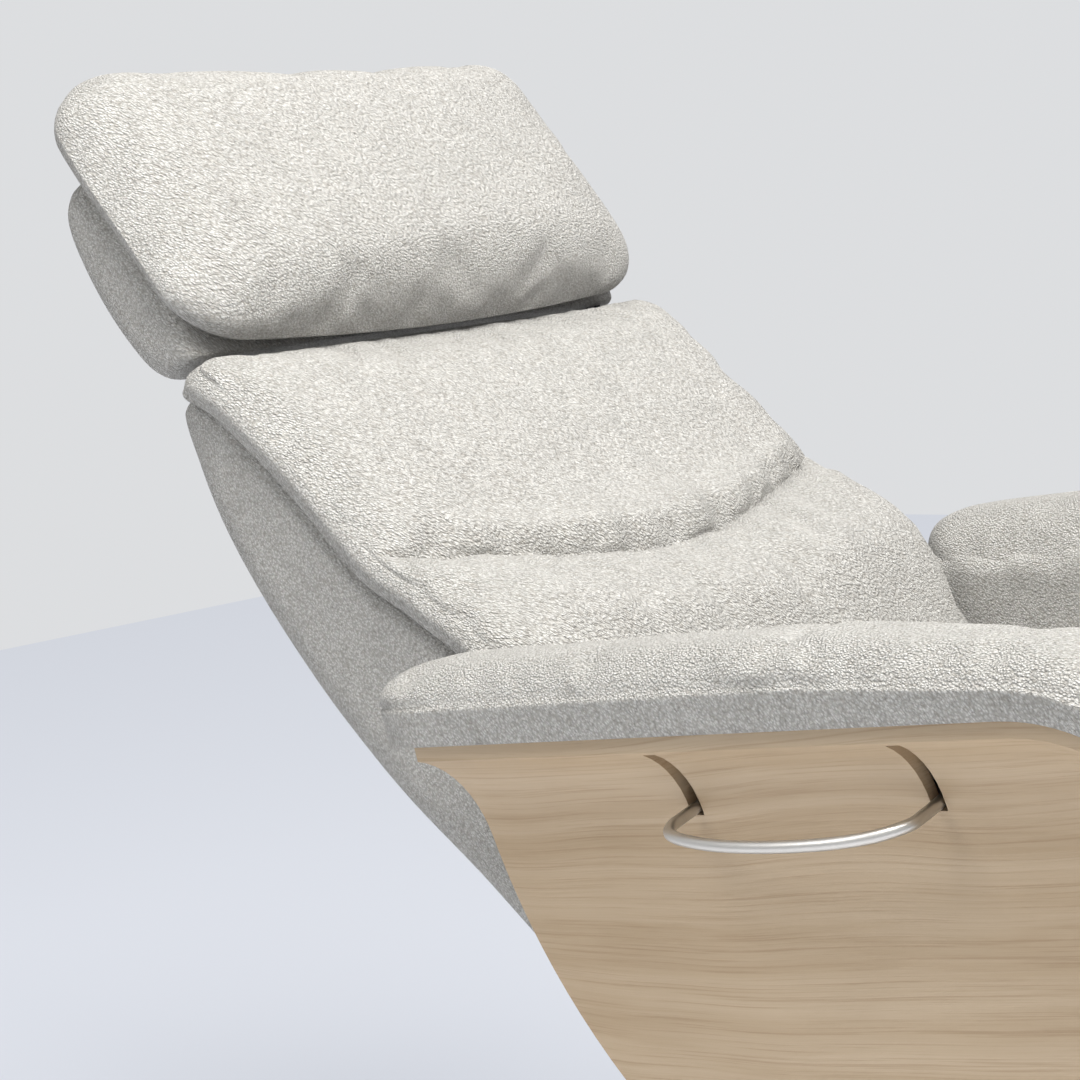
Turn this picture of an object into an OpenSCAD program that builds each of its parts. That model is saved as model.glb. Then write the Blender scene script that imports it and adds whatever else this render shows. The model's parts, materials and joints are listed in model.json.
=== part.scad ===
// Reclining swivel armchair: moulded oak side shells, wool upholstery, wire release handle.
// The chair faces -Y, +X is the sitter's left, the floor is z = 0 and the swivel turns about Z.

/* [Seat] */
// Clear width between the two upholstered inner sides
seat_w = 524; // [480:1:600]
// Height of the seat frame's top face above the floor
deck_z = 324; // [300:1:360]
// Thickness of the seat cushion at its side seams
seat_cushion_t = 110; // [80:1:130]
// Height of the seat cushion's crown above its side seams
seat_crown = 14; // [5:1:25]
// Front edge of the seat cushion, ahead of the swivel axis
seat_front = 310; // [290:1:330]
// Rear edge of the seat cushion, behind the swivel axis
seat_rear = 150; // [130:1:152]
// Gap between the seat cushion and each inner side
seat_side_gap = 8; // [7:0.5:12]

/* [Seat frame] */
// Height of the timber seat rails
rail_h = 50; // [40:1:55]
// Thickness of the two side rails
side_rail_t = 32; // [26:1:40]
// Thickness of the front and rear rails
cross_rail_t = 22; // [18:1:28]
// Rear face of the rear rail, behind the swivel axis
rail_rear = 95; // [85:1:105]
// Front face of the front rail, ahead of the swivel axis
rail_front = 205; // [195:1:215]
// Width of each steel beam over the swivel plate
beam_w = 30; // [20:1:40]
// Distance between the centre lines of the two steel beams
beam_spacing = 170; // [150:1:220]
// Height of the steel beams
beam_h = 30; // [24:1:34]
// Number of elastic seat straps
strap_count = 5; // [3:1:6]
// Width of a seat strap
strap_w = 50; // [40:1:60]
// Thickness of a seat strap
strap_t = 2; // [1:0.5:3]

/* [Side shells] */
// Thickness of the moulded oak shell
panel_t = 9; // [8:0.5:12]
// Room for the handle shaft between inner side and shell
cavity = 15; // [14:0.5:20]
// Thickness of the upholstered inner side
lining_t = 20; // [15:1:25]
// How far the lip flares outward from the shell's outer face
lip_w = 42; // [30:1:50]
// Radius of the cove under the lip
cove_r = 60; // [52:1:80]
// Height of the lip's top face at its rear corner
arm_rear_z = 549; // [530:1:570]
// Rear corner of the lip, behind the swivel axis
arm_rear_y = 222; // [215:1:235]
// Rise of the arm towards the front, in degrees
arm_rise = 6.6; // [4:0.1:8]
// Length of the arm's straight top
arm_len = 410; // [380:1:430]
// Radius of the arm's front end
nose_r = 110; // [95:1:125]
// Radius of the shell's swept rear edge
sweep_r = 400; // [380:1:440]
// Lean of the rear edge at the lip, in degrees
sweep_lean = 11.2; // [9:0.1:14]
// Where the swept edge meets the toe, in degrees below level
sweep_end = 75; // [70:1:80]
// Radius of the shell's lower front toe
toe_r = 150; // [135:1:165]

/* [Arm pads] */
// Width of an arm pad
pad_w = 96; // [85:1:110]
// Height of the pad's boxing up to its seam
pad_boxing = 20; // [14:1:24]
// Full height of the pad at its crown
pad_h = 47; // [38:1:55]
// Height of the pad where it ends at the front
pad_front_h = 24; // [20:1:32]
// Overhang of the pad behind the lip's rear corner
pad_overhang = 38; // [25:1:45]

/* [Back] */
// Width of the back
back_w = 492; // [450:1:500]
// Height of the recline axis above the floor
recline_z = 440; // [430:1:446]
// Recline axis, behind the swivel axis
recline_y = 165; // [163:0.5:168]
// Thickness of the back cushion at its side seams
back_cushion_t = 22; // [16:1:26]
// Crown of the back cushion in front of its side seams
back_crown = 16; // [8:1:22]
// Wall of the back shell
shell_wall = 12; // [8:1:14]
// Corner radius of the back shell
shell_corner = 34; // [24:1:40]
// How far the lumbar seam dips at the middle
seam_dip = 46; // [20:1:60]
// Depth of the lumbar seam
seam_depth = 9; // [4:1:12]
// Thickness of the plywood back board
board_t = 8; // [6:1:10]
// Thickness of the steel uprights
upright_t = 6; // [5:0.5:8]

/* [Headrest] */
// Width of the headrest
head_w = 474; // [430:1:490]
// Crown of the headrest cushion
head_crown = 34; // [20:1:38]
// Height of the tilt axis above the floor
tilt_z = 772; // [770:0.5:774]
// Tilt axis, behind the swivel axis
tilt_y = 530; // [528:0.5:532]

/* [Handle] */
// Diameter of the handle wire
wire_d = 7; // [6:0.5:8]
// Distance between the handle's two legs
leg_spacing = 162; // [140:1:180]
// Reach of the handle from its shaft
handle_reach = 72; // [60:1:80]
// Bend radius of the handle's corners
handle_bend = 32; // [20:1:38]
// Depth of the handle shaft under the lip's top face
handle_drop = 47; // [44:0.5:52]
// Droop of the handle at rest, in degrees
handle_droop = 10; // [5:1:12]
// Swing of the handle, in degrees
handle_swing = 36; // [30:1:38]
// Distance of the handle's middle behind the swivel axis, along the arm
handle_offset = -33; // [-45:1:-20]
// Diameter of the handle shaft
shaft_d = 10; // [9:0.5:11]

/* [Swivel base] */
// Diameter across the tips of the star base
base_d = 700; // [640:1:760]
// Number of star arms
star_arms = 5; // [4:1:6]
// Width of a star arm at the hub
star_root_w = 64; // [50:1:80]
// Width of a star arm at its tip
star_tip_w = 40; // [32:1:48]
// Height of the star base at the hub
star_hub_h = 46; // [38:1:54]
// Height of a star arm at its tip
star_tip_h = 18; // [14:1:22]
// Height of the floor glides
glide_h = 8; // [6:1:12]
// Outer diameter of the column
column_d = 60; // [54:1:70]
// Wall of the column
column_wall = 5; // [4:0.5:7]
// Height of the column's top above the floor
column_top = 236; // [215:1:240]
// Diameter of the swivel spindle
spindle_d = 30; // [26:1:34]
// Thickness of the swivel plate
plate_t = 6; // [5:0.5:8]
// Diameter of the plate and frame bolts
bolt_d = 8; // [6:1:10]

/* [Gas spring] */
// Outer diameter of the gas spring cylinder
gas_d = 23; // [20:1:26]
// Diameter of the gas spring rod
rod_d = 10; // [8:1:12]
// Gas spring anchor, ahead of the swivel axis
anchor_front = 110; // [90:1:120]
// Length of the gas spring cylinder from its anchor
cylinder_len = 150; // [140:1:160]

/* [Fits] */
// Radial clearance of turning and sliding fits
run_fit = 0.05; // [0.02:0.01:0.1]
// Clearance between a soft piece and its neighbour
soft_gap = 0.5; // [0.3:0.1:1]

/* [Hidden] */
$fn = 48;

lining_x = seat_w / 2;
cavity_x = lining_x + lining_t;
panel_in = cavity_x + cavity;
panel_out = panel_in + panel_t;
lip_x = panel_out + lip_w;
pad_mid = lining_x + pad_w / 2;

// Arc points about a centre, from one angle to another
function arc(c, r, a0, a1, n) = [for (i = [0:n]) c + r * [cos(a0 + (a1 - a0) * i / n),
    sin(a0 + (a1 - a0) * i / n)]];
// Smooth curve through a list of points, u from 0 to 1
function knot(p, k) = k < 0 ? 2 * p[0] - p[1]
    : k >= len(p) ? 2 * p[len(p) - 1] - p[len(p) - 2] : p[k];
function blend(a, b, c, d, t) = 0.5 * (2 * b + (c - a) * t + (2 * a - 5 * b + 4 * c - d) * t * t
    + (3 * b - a - 3 * c + d) * t * t * t);
function curve(p, u) = let (n = len(p) - 1, k = min(floor(u * n), n - 1))
    blend(knot(p, k - 1), knot(p, k), knot(p, k + 1), knot(p, k + 2), u * n - k);
function unit(v) = v / norm(v);

// Draws a flat outline given in (y, z) as a plate of thickness t starting at x0
module side_plate(x0, t) {
    translate([x0, 0, 0]) rotate([90, 0, 90]) linear_extrude(t) children();
}

// Round bar along X
module cross_bar(y, z, r, x0, x1) {
    translate([x0, y, z]) rotate([0, 90, 0]) cylinder(r = r, h = x1 - x0);
}

// Closed skin through rings of equal point count, capped at both ends
module loft(rings) {
    m = len(rings[0]);
    n = len(rings);
    points = [for (ring = rings) each ring];
    sides = [for (k = [0:n - 2]) for (i = [0:m - 1]) let (j = (i + 1) % m)
        each [[k * m + i, k * m + j, (k + 1) * m + j], [k * m + i, (k + 1) * m + j, (k + 1) * m + i]]];
    first = [for (i = [1:m - 2]) [0, i + 1, i]];
    last = [for (i = [1:m - 2]) [(n - 1) * m, (n - 1) * m + i, (n - 1) * m + i + 1]];
    polyhedron(points, concat(sides, first, last));
}

// Arm geometry: the top line rises to the front, then turns down round the nose
arm_up = [sin(arm_rise), cos(arm_rise)];
arm_back = [cos(arm_rise), -sin(arm_rise)];
lip_rear = [arm_rear_y, arm_rear_z];
nose_start = lip_rear - arm_len * arm_back;
nose_c = nose_start - nose_r * arm_up;
sweep_c = lip_rear - sweep_r * [cos(sweep_lean), -sin(sweep_lean)];
toe_c = sweep_c + (sweep_r - toe_r) * [cos(sweep_end), -sin(sweep_end)];
toe_to_nose = nose_c - toe_c;
front_angle = atan2(toe_to_nose[1], toe_to_nose[0])
    + acos((toe_r - nose_r) / norm(toe_to_nose));
nose_start_angle = 90 - arm_rise;

// Rear corner of the outline at an inset, where its top line meets the swept edge
function rear_corner(inset_top, inset) = let (
    p = nose_c + (nose_r - inset_top) * arm_up - sweep_c,
    b = p * arm_back,
    q = sweep_r - inset)
    sweep_c + p + arm_back * (-b + sqrt(b * b - p * p + q * q));
function angle_of(p, c) = atan2(p[1] - c[1], p[0] - c[0]);

// Side outline of the arm shell: inset_top on the top line and nose, inset elsewhere
function shell_outline(inset_top, inset) = let (corner = rear_corner(inset_top, inset))
    concat(arc(sweep_c, sweep_r - inset, angle_of(corner, sweep_c), -sweep_end, 28),
        arc(toe_c, toe_r - inset, 359 - sweep_end, front_angle, 12),
        inset_top == inset ? [] : [nose_c + (nose_r - inset) * [cos(front_angle), sin(front_angle)]],
        arc(nose_c, nose_r - inset_top, front_angle, nose_start_angle, 20));

// Frame with its origin on the lip's top line at the nose, y rearward along the arm
module on_arm() {
    translate([0, nose_start[0], nose_start[1]]) rotate([-arm_rise, 0, 0]) children();
}

module mirrored() {
    mirror([1, 0, 0]) children();
}

// Straight bar of width w between two points of the (y, z) plane
module bar_outline(p, q, w) {
    translate(p) rotate(atan2(q[1] - p[1], q[0] - p[0])) translate([0, -w / 2])
        square([norm(q - p), w]);
    translate(p) circle(w / 2);
    translate(q) circle(w / 2);
}

// Side shells: the cove's section, its arcs about a centre outside the wall
cove_x = panel_out + cove_r;
cove_out = acos((cove_r - lip_w) / cove_r);
cove_in = acos((cove_r - lip_w) / (cove_r + panel_t));
cove_rise = (cove_r + panel_t) * sin(cove_in);
cove_join = 6;
shell_margin = 5;
// Section at a share of the full flare: points (x, height over the lip's top line)
function cove_arc(r, g0, g1, rise) = [for (i = [0:10]) let (g = g0 + (g1 - g0) * i / 10)
    [cove_x - r * cos(g), r * sin(g) - rise]];
function cove_section(share) = let (
    g_out = cove_out * share,
    g_in = g_out + (cove_in - cove_out) * share,
    rise = (cove_r + panel_t) * sin(g_in))
    concat([[panel_in, -cove_rise - cove_join]], cove_arc(cove_r + panel_t, 0, g_in, rise),
        cove_arc(cove_r, g_out, 0, rise), [[panel_out, -cove_rise - cove_join]]);
// Section placed at a base point, with its height along a direction
function cove_ring(base, up, share) = [for (p = cove_section(share))
    [p[0], base[0] + p[1] * up[0], base[1] + p[1] * up[1]]];
flare_from = 105;
function flare_share(a) = a < flare_from ? 1
    : 0.5 + 0.5 * cos(180 * (a - flare_from) / (front_angle - flare_from));
nose_steps = 18;
function toward(a) = [cos(a), sin(a)];
cove_rings = concat([cove_ring(lip_rear + 30 * arm_back, arm_up, 1)],
    [for (k = [0:nose_steps]) let (a = nose_start_angle + (front_angle - nose_start_angle)
        * k / nose_steps) cove_ring(nose_c + nose_r * toward(a), toward(a), flare_share(a))],
    [cove_ring(nose_c + (nose_r - 1) * toward(front_angle) + 4 * toward(front_angle + 90),
        toward(front_angle), 0)]);

// Flat wall and the flared lip, which fades into the wall round the nose
module side_shell() {
    intersection() {
        union() {
            side_plate(panel_in, panel_t)
                polygon(shell_outline(cove_rise + cove_join / 2, -shell_margin));
            loft(cove_rings);
        }
        side_plate(panel_in - 1, lip_w + panel_t + 2) polygon(shell_outline(-shell_margin, 0));
    }
}

// Handle axis inside the cavity, and the two slots its legs swing in
handle_x = panel_in - cavity / 2;
handle_y = (handle_offset - nose_start[0]) / cos(arm_rise);
slot_gap = 1;
slot_reach = 62;
function leg_dir(a) = [cos(a), sin(a)];
function leg_side(a) = [-sin(a), cos(a)];
slot_low = -handle_droop;
slot_over = 10;
slot_high = handle_swing - handle_droop + slot_over;
slot_half = wire_d / 2 + slot_gap;
slot_outline = concat([3 * leg_dir(slot_low) - slot_half * leg_side(slot_low)],
    [slot_reach * leg_dir(slot_low) - slot_half * leg_side(slot_low)],
    arc([0, 0], slot_reach, slot_low, slot_high, 6),
    [slot_reach * leg_dir(slot_high) + slot_half * leg_side(slot_high)],
    [3 * leg_dir(slot_high) + slot_half * leg_side(slot_high)]);
module at_handle() {
    on_arm() translate([handle_x, handle_y, -handle_drop]) children();
}
module handle_slots() {
    at_handle() for (s = [-1, 1]) translate([0, s * leg_spacing / 2 + slot_half, 0])
        rotate([90, 0, 0]) linear_extrude(2 * slot_half) polygon(slot_outline);
}
module side_panel_right() {
    color("burlywood") mirrored() difference() {
        side_shell();
        handle_slots();
    }
}
module side_panel_left() {
    color("burlywood") side_shell();
}

// Upholstered inner sides, timber rails under the pads, cleats on the shells
lining_inset = 4;
cable_y = -95;
bolt_z = deck_z - rail_h / 2;
frame_bolt_y = [-150, -60, 0];
bolt_hole = bolt_d / 2 + run_fit;
head_t = 5;
module frame_bolt_holes() {
    for (y = frame_bolt_y) cross_bar(y, bolt_z, bolt_hole, lining_x - side_rail_t - 1,
        cavity_x + cavity * 0.7);
}
cable_pocket = [14, 50];
// The lining's rear edge runs out under the pad's overhang and fades into the shell's sweep
shoulder_gap = 8;
shoulder_share = 0.4;
function shoulder(k) = (pad_overhang - shoulder_gap) * pow(cos(90 * min(1, k / shoulder_share)), 2);
lining_outline = let (
    corner = rear_corner(1, lining_inset),
    first = angle_of(corner, sweep_c),
    steps = 28)
    concat([for (k = [0:steps]) let (a = first + (-sweep_end - first) * k / steps)
            sweep_c + (sweep_r - lining_inset + shoulder(k / steps)) * [cos(a), sin(a)]],
        arc(toe_c, toe_r - lining_inset, 359 - sweep_end, front_angle, 12),
        [nose_c + (nose_r - lining_inset) * [cos(front_angle), sin(front_angle)]],
        arc(nose_c, nose_r - 1, front_angle, nose_start_angle, 20));
module side_lining(pocket) {
    difference() {
        side_plate(lining_x, lining_t) polygon(lining_outline);
        frame_bolt_holes();
        if (pocket) translate([lining_x - 1, cable_y - cable_pocket[0] / 2, bolt_z - 14])
            cube([lining_t + 2, cable_pocket[0], cable_pocket[1]]);
    }
}
module side_lining_right() {
    color("gainsboro") mirrored() side_lining(true);
}
module side_lining_left() {
    color("gainsboro") side_lining(false);
}
arm_rail_h = 28;
module arm_rail() {
    on_arm() translate([cavity_x, 12, -arm_rail_h - 1]) cube([cavity - 1, arm_len - 40, arm_rail_h]);
}
module arm_rail_right() {
    color("tan") mirrored() arm_rail();
}
module arm_rail_left() {
    color("tan") arm_rail();
}
cleat_span = [-165, 12];
module cleat(pocket) {
    difference() {
        intersection() {
            side_plate(cavity_x, cavity) polygon(shell_outline(lining_inset, lining_inset));
            translate([cavity_x, cleat_span[0], deck_z - rail_h])
                cube([cavity, cleat_span[1] - cleat_span[0], rail_h]);
        }
        frame_bolt_holes();
        if (pocket) translate([cavity_x - 1, cable_y - cable_pocket[0] / 2, bolt_z - 14])
            cube([cavity + 2, cable_pocket[0], cable_pocket[1]]);
    }
}
module cleat_right() {
    color("tan") mirrored() cleat(true);
}
module cleat_left() {
    color("tan") cleat(false);
}
module frame_bolts() {
    color("silver") for (s = [0, 1]) mirror([s, 0, 0]) for (y = frame_bolt_y) {
        cross_bar(y, bolt_z, bolt_d / 2, lining_x - side_rail_t, cavity_x + cavity * 0.7 - 1);
        cross_bar(y, bolt_z, bolt_d * 0.85, lining_x - side_rail_t - head_t,
            lining_x - side_rail_t);
    }
}

// Arm pads: flat base on the lip, boxed sides, soft crown, tapering round the nose
pad_end_r = 42;
pad_end_angle = 188;
pad_start = arm_len + pad_overhang;
nose_turn = pad_end_angle - nose_start_angle;
nose_arc = nose_turn * PI / 180 * nose_r;
function pad_rounding(e) = e >= pad_end_r ? 1 : sqrt(1 - pow(1 - e / pad_end_r, 2));
function pad_base(s) = s <= pad_start
    ? nose_start + (pad_start - s) * arm_back
    : nose_c + nose_r * [cos(nose_start_angle + (s - pad_start) / nose_arc * nose_turn),
        sin(nose_start_angle + (s - pad_start) / nose_arc * nose_turn)];
function pad_up(s) = s <= pad_start ? arm_up
    : [cos(nose_start_angle + (s - pad_start) / nose_arc * nose_turn),
        sin(nose_start_angle + (s - pad_start) / nose_arc * nose_turn)];
pad_total = pad_start + nose_arc;
taper_from = pad_start - 120;
function pad_height(s) = s < taper_from ? pad_h
    : pad_h + (pad_front_h - pad_h) * sin(90 * (s - taper_from) / (pad_total - taper_from));
function pad_ring(s) = let (
    f = pad_rounding(min(s, pad_total - s)),
    w = pad_w / 2 * (0.55 + 0.45 * f),
    full = pad_height(s),
    h = full * (0.12 + 0.88 * f),
    b = pad_boxing * h / full * min(1, full / pad_h + 0.25),
    base = pad_base(s),
    up = pad_up(s),
    section = concat([[w - 4, soft_gap], [w, soft_gap + 3], [w, b * 0.8], [w - 2, b]],
        [for (a = [25:26:155]) [(w - 2) * cos(a), b + (h - b) * pow(sin(a), 0.75)]],
        [[2 - w, b], [-w, b * 0.8], [-w, soft_gap + 3], [4 - w, soft_gap]]))
    [for (q = section) [pad_mid + q[0], base[0] + q[1] * up[0], base[1] + q[1] * up[1]]];
pad_stations = concat([0.5, 3, 8, 16, 28, 42, 90, 160, 230, 300],
    [for (k = [0:14]) taper_from + (pad_total - taper_from - 30) * k / 14],
    [for (e = [18, 8, 3, 0.5]) pad_total - e]);
module arm_pad() {
    loft([for (s = pad_stations) pad_ring(s)]);
}
module arm_pad_right() {
    color("whitesmoke") mirrored() arm_pad();
}
module arm_pad_left() {
    color("whitesmoke") arm_pad();
}

// Seat frame
bracket_t = 5;
pocket_t = bracket_t + 1;
bracket_x = lining_x - 1;
bracket_pad = [[30, 8], [74, 44]];
bracket_bolt_at = [[42, 16], [60, 34]];
bracket_low = deck_z - rail_h;
module bracket_bolt_holes(r) {
    for (b = bracket_bolt_at) cross_bar(b[0], bracket_low + b[1], r,
        lining_x - side_rail_t - 1, lining_x + 1);
}
module side_rail(pocket) {
    difference() {
        translate([lining_x - side_rail_t, -rail_front, deck_z - rail_h])
            cube([side_rail_t, rail_front + rail_rear, rail_h]);
        translate([lining_x - pocket_t, bracket_pad[0][0] - 2, deck_z - rail_h - 1])
            cube([pocket_t + 1, rail_rear, rail_h + 2]);
        frame_bolt_holes();
        bracket_bolt_holes(bolt_hole);
        if (pocket) cross_bar(cable_y, bolt_z, 6, lining_x - side_rail_t - 1, lining_x + 1);
    }
}
module side_rail_right() {
    color("tan") mirrored() side_rail(true);
}
module side_rail_left() {
    color("tan") side_rail(false);
}
rail_inner = lining_x - side_rail_t;
module front_rail() {
    color("tan") translate([-rail_inner, -rail_front, deck_z - rail_h])
        cube([2 * rail_inner, cross_rail_t, rail_h]);
}
spring_notch = [22, 38];
module rear_rail() {
    color("tan") difference() {
        translate([-rail_inner, rail_rear - cross_rail_t, deck_z - rail_h])
            cube([2 * rail_inner, cross_rail_t, rail_h]);
        translate([-spring_notch[0], rail_rear - cross_rail_t - 1, deck_z - rail_h - 1])
            cube([2 * spring_notch[0], cross_rail_t + 2, spring_notch[1] + 1]);
    }
}
beam_front = cross_rail_t - rail_front;
beam_len = rail_front + rail_rear - 2 * cross_rail_t;
beam_wall = 3;
beam_z = deck_z - rail_h;
plate_bolt_y = 65;
anchor_r = 4;
anchor_z = beam_z + 14;
module beam() {
    difference() {
        translate([beam_spacing / 2 - beam_w / 2, beam_front, beam_z])
            cube([beam_w, beam_len, beam_h]);
        translate([beam_spacing / 2 - beam_w / 2 + beam_wall, beam_front - 1, beam_z + beam_wall])
            cube([beam_w - 2 * beam_wall, beam_len + 2, beam_h - 2 * beam_wall]);
        for (s = [-1, 1]) translate([beam_spacing / 2, s * plate_bolt_y, beam_z - 1])
            cylinder(r = bolt_hole, h = beam_wall + 2);
        cross_bar(-anchor_front, anchor_z, anchor_r, 0, beam_spacing / 2);
    }
}
module beam_right() {
    color("dimgray") mirrored() beam();
}
module beam_left() {
    color("dimgray") beam();
}
strap_pitch = (2 * rail_inner - strap_w) / strap_count;
module seat_straps() {
    color("black") for (k = [0:strap_count - 1])
        translate([(k - (strap_count - 1) / 2) * strap_pitch - strap_w / 2, -rail_front, deck_z])
        cube([strap_w, rail_front + rail_rear, strap_t]);
}
apron_t = 14;
apron_drop = 8;
module front_apron() {
    color("gainsboro") side_plate(0.5 - lining_x, 2 * lining_x - 1)
        polygon([[-rail_front, deck_z - rail_h - apron_drop], [-rail_front, deck_z + strap_t],
            [25 - seat_front, deck_z + strap_t], [20 - seat_front, deck_z - apron_t],
            [-rail_front - apron_t, deck_z - rail_h - apron_drop]]);
}

// Seat cushion: boxed sides drawn in, crowned top, rounded front and rear
cushion_z = deck_z + strap_t + soft_gap;
cushion_hw = lining_x - seat_side_gap;
seat_len = seat_front + seat_rear;
seat_tilt = 10;
seat_round = 34;
function seat_end(e) = e >= seat_round ? 1 : sqrt(1 - pow(1 - e / seat_round, 2));
function seat_ring(s) = let (
    y = seat_rear - s,
    f = seat_end(min(s, seat_len - s)),
    t = seat_cushion_t + seat_tilt * (s / seat_len - 0.5),
    mid = cushion_z + t * 0.45,
    low = mid - (mid - cushion_z) * (0.5 + 0.5 * f),
    top = mid + (cushion_z + t - mid) * (0.35 + 0.65 * f),
    w = cushion_hw - 10 * (1 - f),
    side = [[w - 12, low], [w - 3, low + 9], [w, mid], [w - 2, top - 10], [w - 9, top]])
    concat([for (q = side) [q[0], y, q[1]]],
        [for (x = [0.75, 0.5, 0.25, 0, -0.25, -0.5, -0.75])
            [x * w, y, top + seat_crown * f * (1 - x * x)]],
        [for (k = [4:-1:0]) [-side[k][0], y, side[k][1]]]);
seat_stations = concat([1, 5, 12, 22, 34], [for (k = [1:5]) 34 + (seat_len - 68) * k / 6],
    [for (e = [34, 22, 12, 5, 1]) seat_len - e]);
module seat_cushion() {
    color("whitesmoke") loft([for (s = seat_stations) seat_ring(s)]);
}

// Recline brackets and pins
recline = [recline_y, recline_z];
pivot_r = 8;
bracket_boss = 13;
module pivot_bracket() {
    difference() {
        side_plate(bracket_x - bracket_t, bracket_t) polygon(concat(
            [[bracket_pad[0][0], bracket_low + bracket_pad[0][1]],
            [bracket_pad[1][0], bracket_low + bracket_pad[0][1]]],
            arc(recline, bracket_boss, -35, 145, 12),
            [[bracket_pad[0][0], bracket_low + bracket_pad[1][1]]]));
        cross_bar(recline[0], recline[1], pivot_r, lining_x - 30, lining_x + 1);
        bracket_bolt_holes(bolt_hole);
    }
}
module pivot_bracket_right() {
    color("dimgray") mirrored() pivot_bracket();
}
module pivot_bracket_left() {
    color("dimgray") pivot_bracket();
}
upright_x = back_w / 2 - 34;
module pivot_pin() {
    cross_bar(recline[0], recline[1], pivot_r, upright_x - 3, bracket_x);
}
module pivot_pin_right() {
    color("silver") mirrored() pivot_pin();
}
module pivot_pin_left() {
    color("silver") pivot_pin();
}
module bracket_bolts() {
    color("silver") for (s = [0, 1]) mirror([s, 0, 0]) for (b = bracket_bolt_at) {
        cross_bar(b[0], bracket_low + b[1], bolt_d / 2, lining_x - side_rail_t, bracket_x);
        cross_bar(b[0], bracket_low + b[1], bolt_d * 0.85, lining_x - side_rail_t - head_t,
            lining_x - side_rail_t);
    }
}

// Handle: wire loop on a shaft, its bearings, the cable quadrant, stops and cable
module handle_bail() {
    leg = leg_spacing / 2;
    r = wire_d / 2;
    straight = handle_reach - handle_bend;
    color("silver") mirrored() at_handle() rotate([0, handle_droop, 0]) for (s = [-1, 1]) {
        translate([-shaft_d / 2 - 1, s * leg, 0]) rotate([0, 90, 0])
            cylinder(r = r, h = straight + shaft_d / 2 + 1);
        translate([straight, s * (leg - handle_bend), 0]) rotate([0, 0, s < 0 ? -90 : 0])
            rotate_extrude(angle = 90) translate([handle_bend, 0]) circle(r);
        translate([handle_reach, 0, 0]) rotate([-s * 90, 0, 0])
            cylinder(r = r, h = leg - handle_bend);
    }
}
bearing_len = 14;
bearing_gap = 1;
shaft_half = leg_spacing / 2 + slot_half + bearing_gap + bearing_len;
module handle_shaft() {
    color("dimgray") mirrored() at_handle() rotate([0, handle_droop, 0]) difference() {
        translate([0, shaft_half, 0]) rotate([90, 0, 0])
            cylinder(r = shaft_d / 2, h = 2 * shaft_half);
        for (s = [-1, 1]) translate([-shaft_d, s * leg_spacing / 2, 0]) rotate([0, 90, 0])
            cylinder(r = wire_d / 2, h = 2 * shaft_d);
    }
}
bearing_h = 20;
module handle_bearings() {
    color("ivory") mirrored() at_handle() for (s = [-1, 1]) difference() {
        translate([-cavity / 2, s * (shaft_half - bearing_len / 2) - bearing_len / 2, -bearing_h / 2])
            cube([cavity, bearing_len, bearing_h]);
        translate([0, s * shaft_half + bearing_len, 0]) rotate([90, 0, 0])
            cylinder(r = shaft_d / 2 + run_fit, h = 2 * bearing_len);
    }
}
quadrant_r = 6.4;
quadrant_w = 6;
module cable_quadrant() {
    color("dimgray") mirrored() at_handle() translate([0, quadrant_w / 2, 0]) rotate([90, 0, 0])
        difference() {
            cylinder(r = quadrant_r, h = quadrant_w);
            translate([0, 0, -1]) cylinder(r = shaft_d / 2, h = quadrant_w + 2);
        }
}
stop_y = handle_offset;
stop_z = 486;
stop_h = 12;
cable_r = 2.5;
clip_w = 10;
clip_x = 24;
cable_end_z = anchor_z + 12;
module cable_stops() {
    color("dimgray") mirrored() {
        difference() {
            translate([cavity_x, stop_y - 7, stop_z]) cube([cavity, 14, stop_h]);
            translate([handle_x, stop_y, stop_z - 1]) cylinder(r = 1.2, h = stop_h + 2);
        }
        difference() {
            translate([clip_x, -anchor_front - 8, anchor_z - 8]) cube([clip_w, 16, 28]);
            cross_bar(-anchor_front, anchor_z, anchor_r, clip_x - 1, clip_x + clip_w + 1);
            cross_bar(-anchor_front, cable_end_z, 1.2, clip_x - 1, clip_x + clip_w + 1);
        }
    }
}
// Route of the release cable from the upper stop to the clip at the gas spring
cable_route = [[handle_x, stop_y, stop_z], [handle_x, stop_y, stop_z - 12],
    [handle_x, -36, 440], [handle_x, -55, 400], [handle_x, -80, 362], [handle_x, -93, 338],
    [288, -95, 324], [282, -95, 311], [270, -95, 302], [256, -95, 299], [230, -95, 299],
    [205, -95, 300], [175, -97, 306], [140, -100, 313], [110, -103, 315], [80, -106, 313],
    [62, -109, 308], [48, -110, 302], [clip_x + clip_w + 8, -anchor_front, cable_end_z],
    [clip_x + clip_w, -anchor_front, cable_end_z]];
cable_sides = 8;
cable_step = 3;
cable_rings = (len(cable_route) - 1) * cable_step;
function cable_at(k) = curve(cable_route, k / cable_rings);
function cable_dir(k) = k == 0 ? [0, 0, -1] : k == cable_rings ? [-1, 0, 0]
    : unit(cable_at(k + 0.5) - cable_at(k - 0.5));
function cable_side(k) = unit(cross(cable_dir(k), [0, 1, 0]));
module release_cable() {
    color("black") mirrored() loft([for (k = [0:cable_rings]) let (
        c = cable_at(k), a = cable_side(k), b = cross(cable_dir(k), a))
        [for (i = [0:cable_sides - 1])
            c + cable_r * (a * cos(i * 45) + b * sin(i * 45))]]);
}

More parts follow.
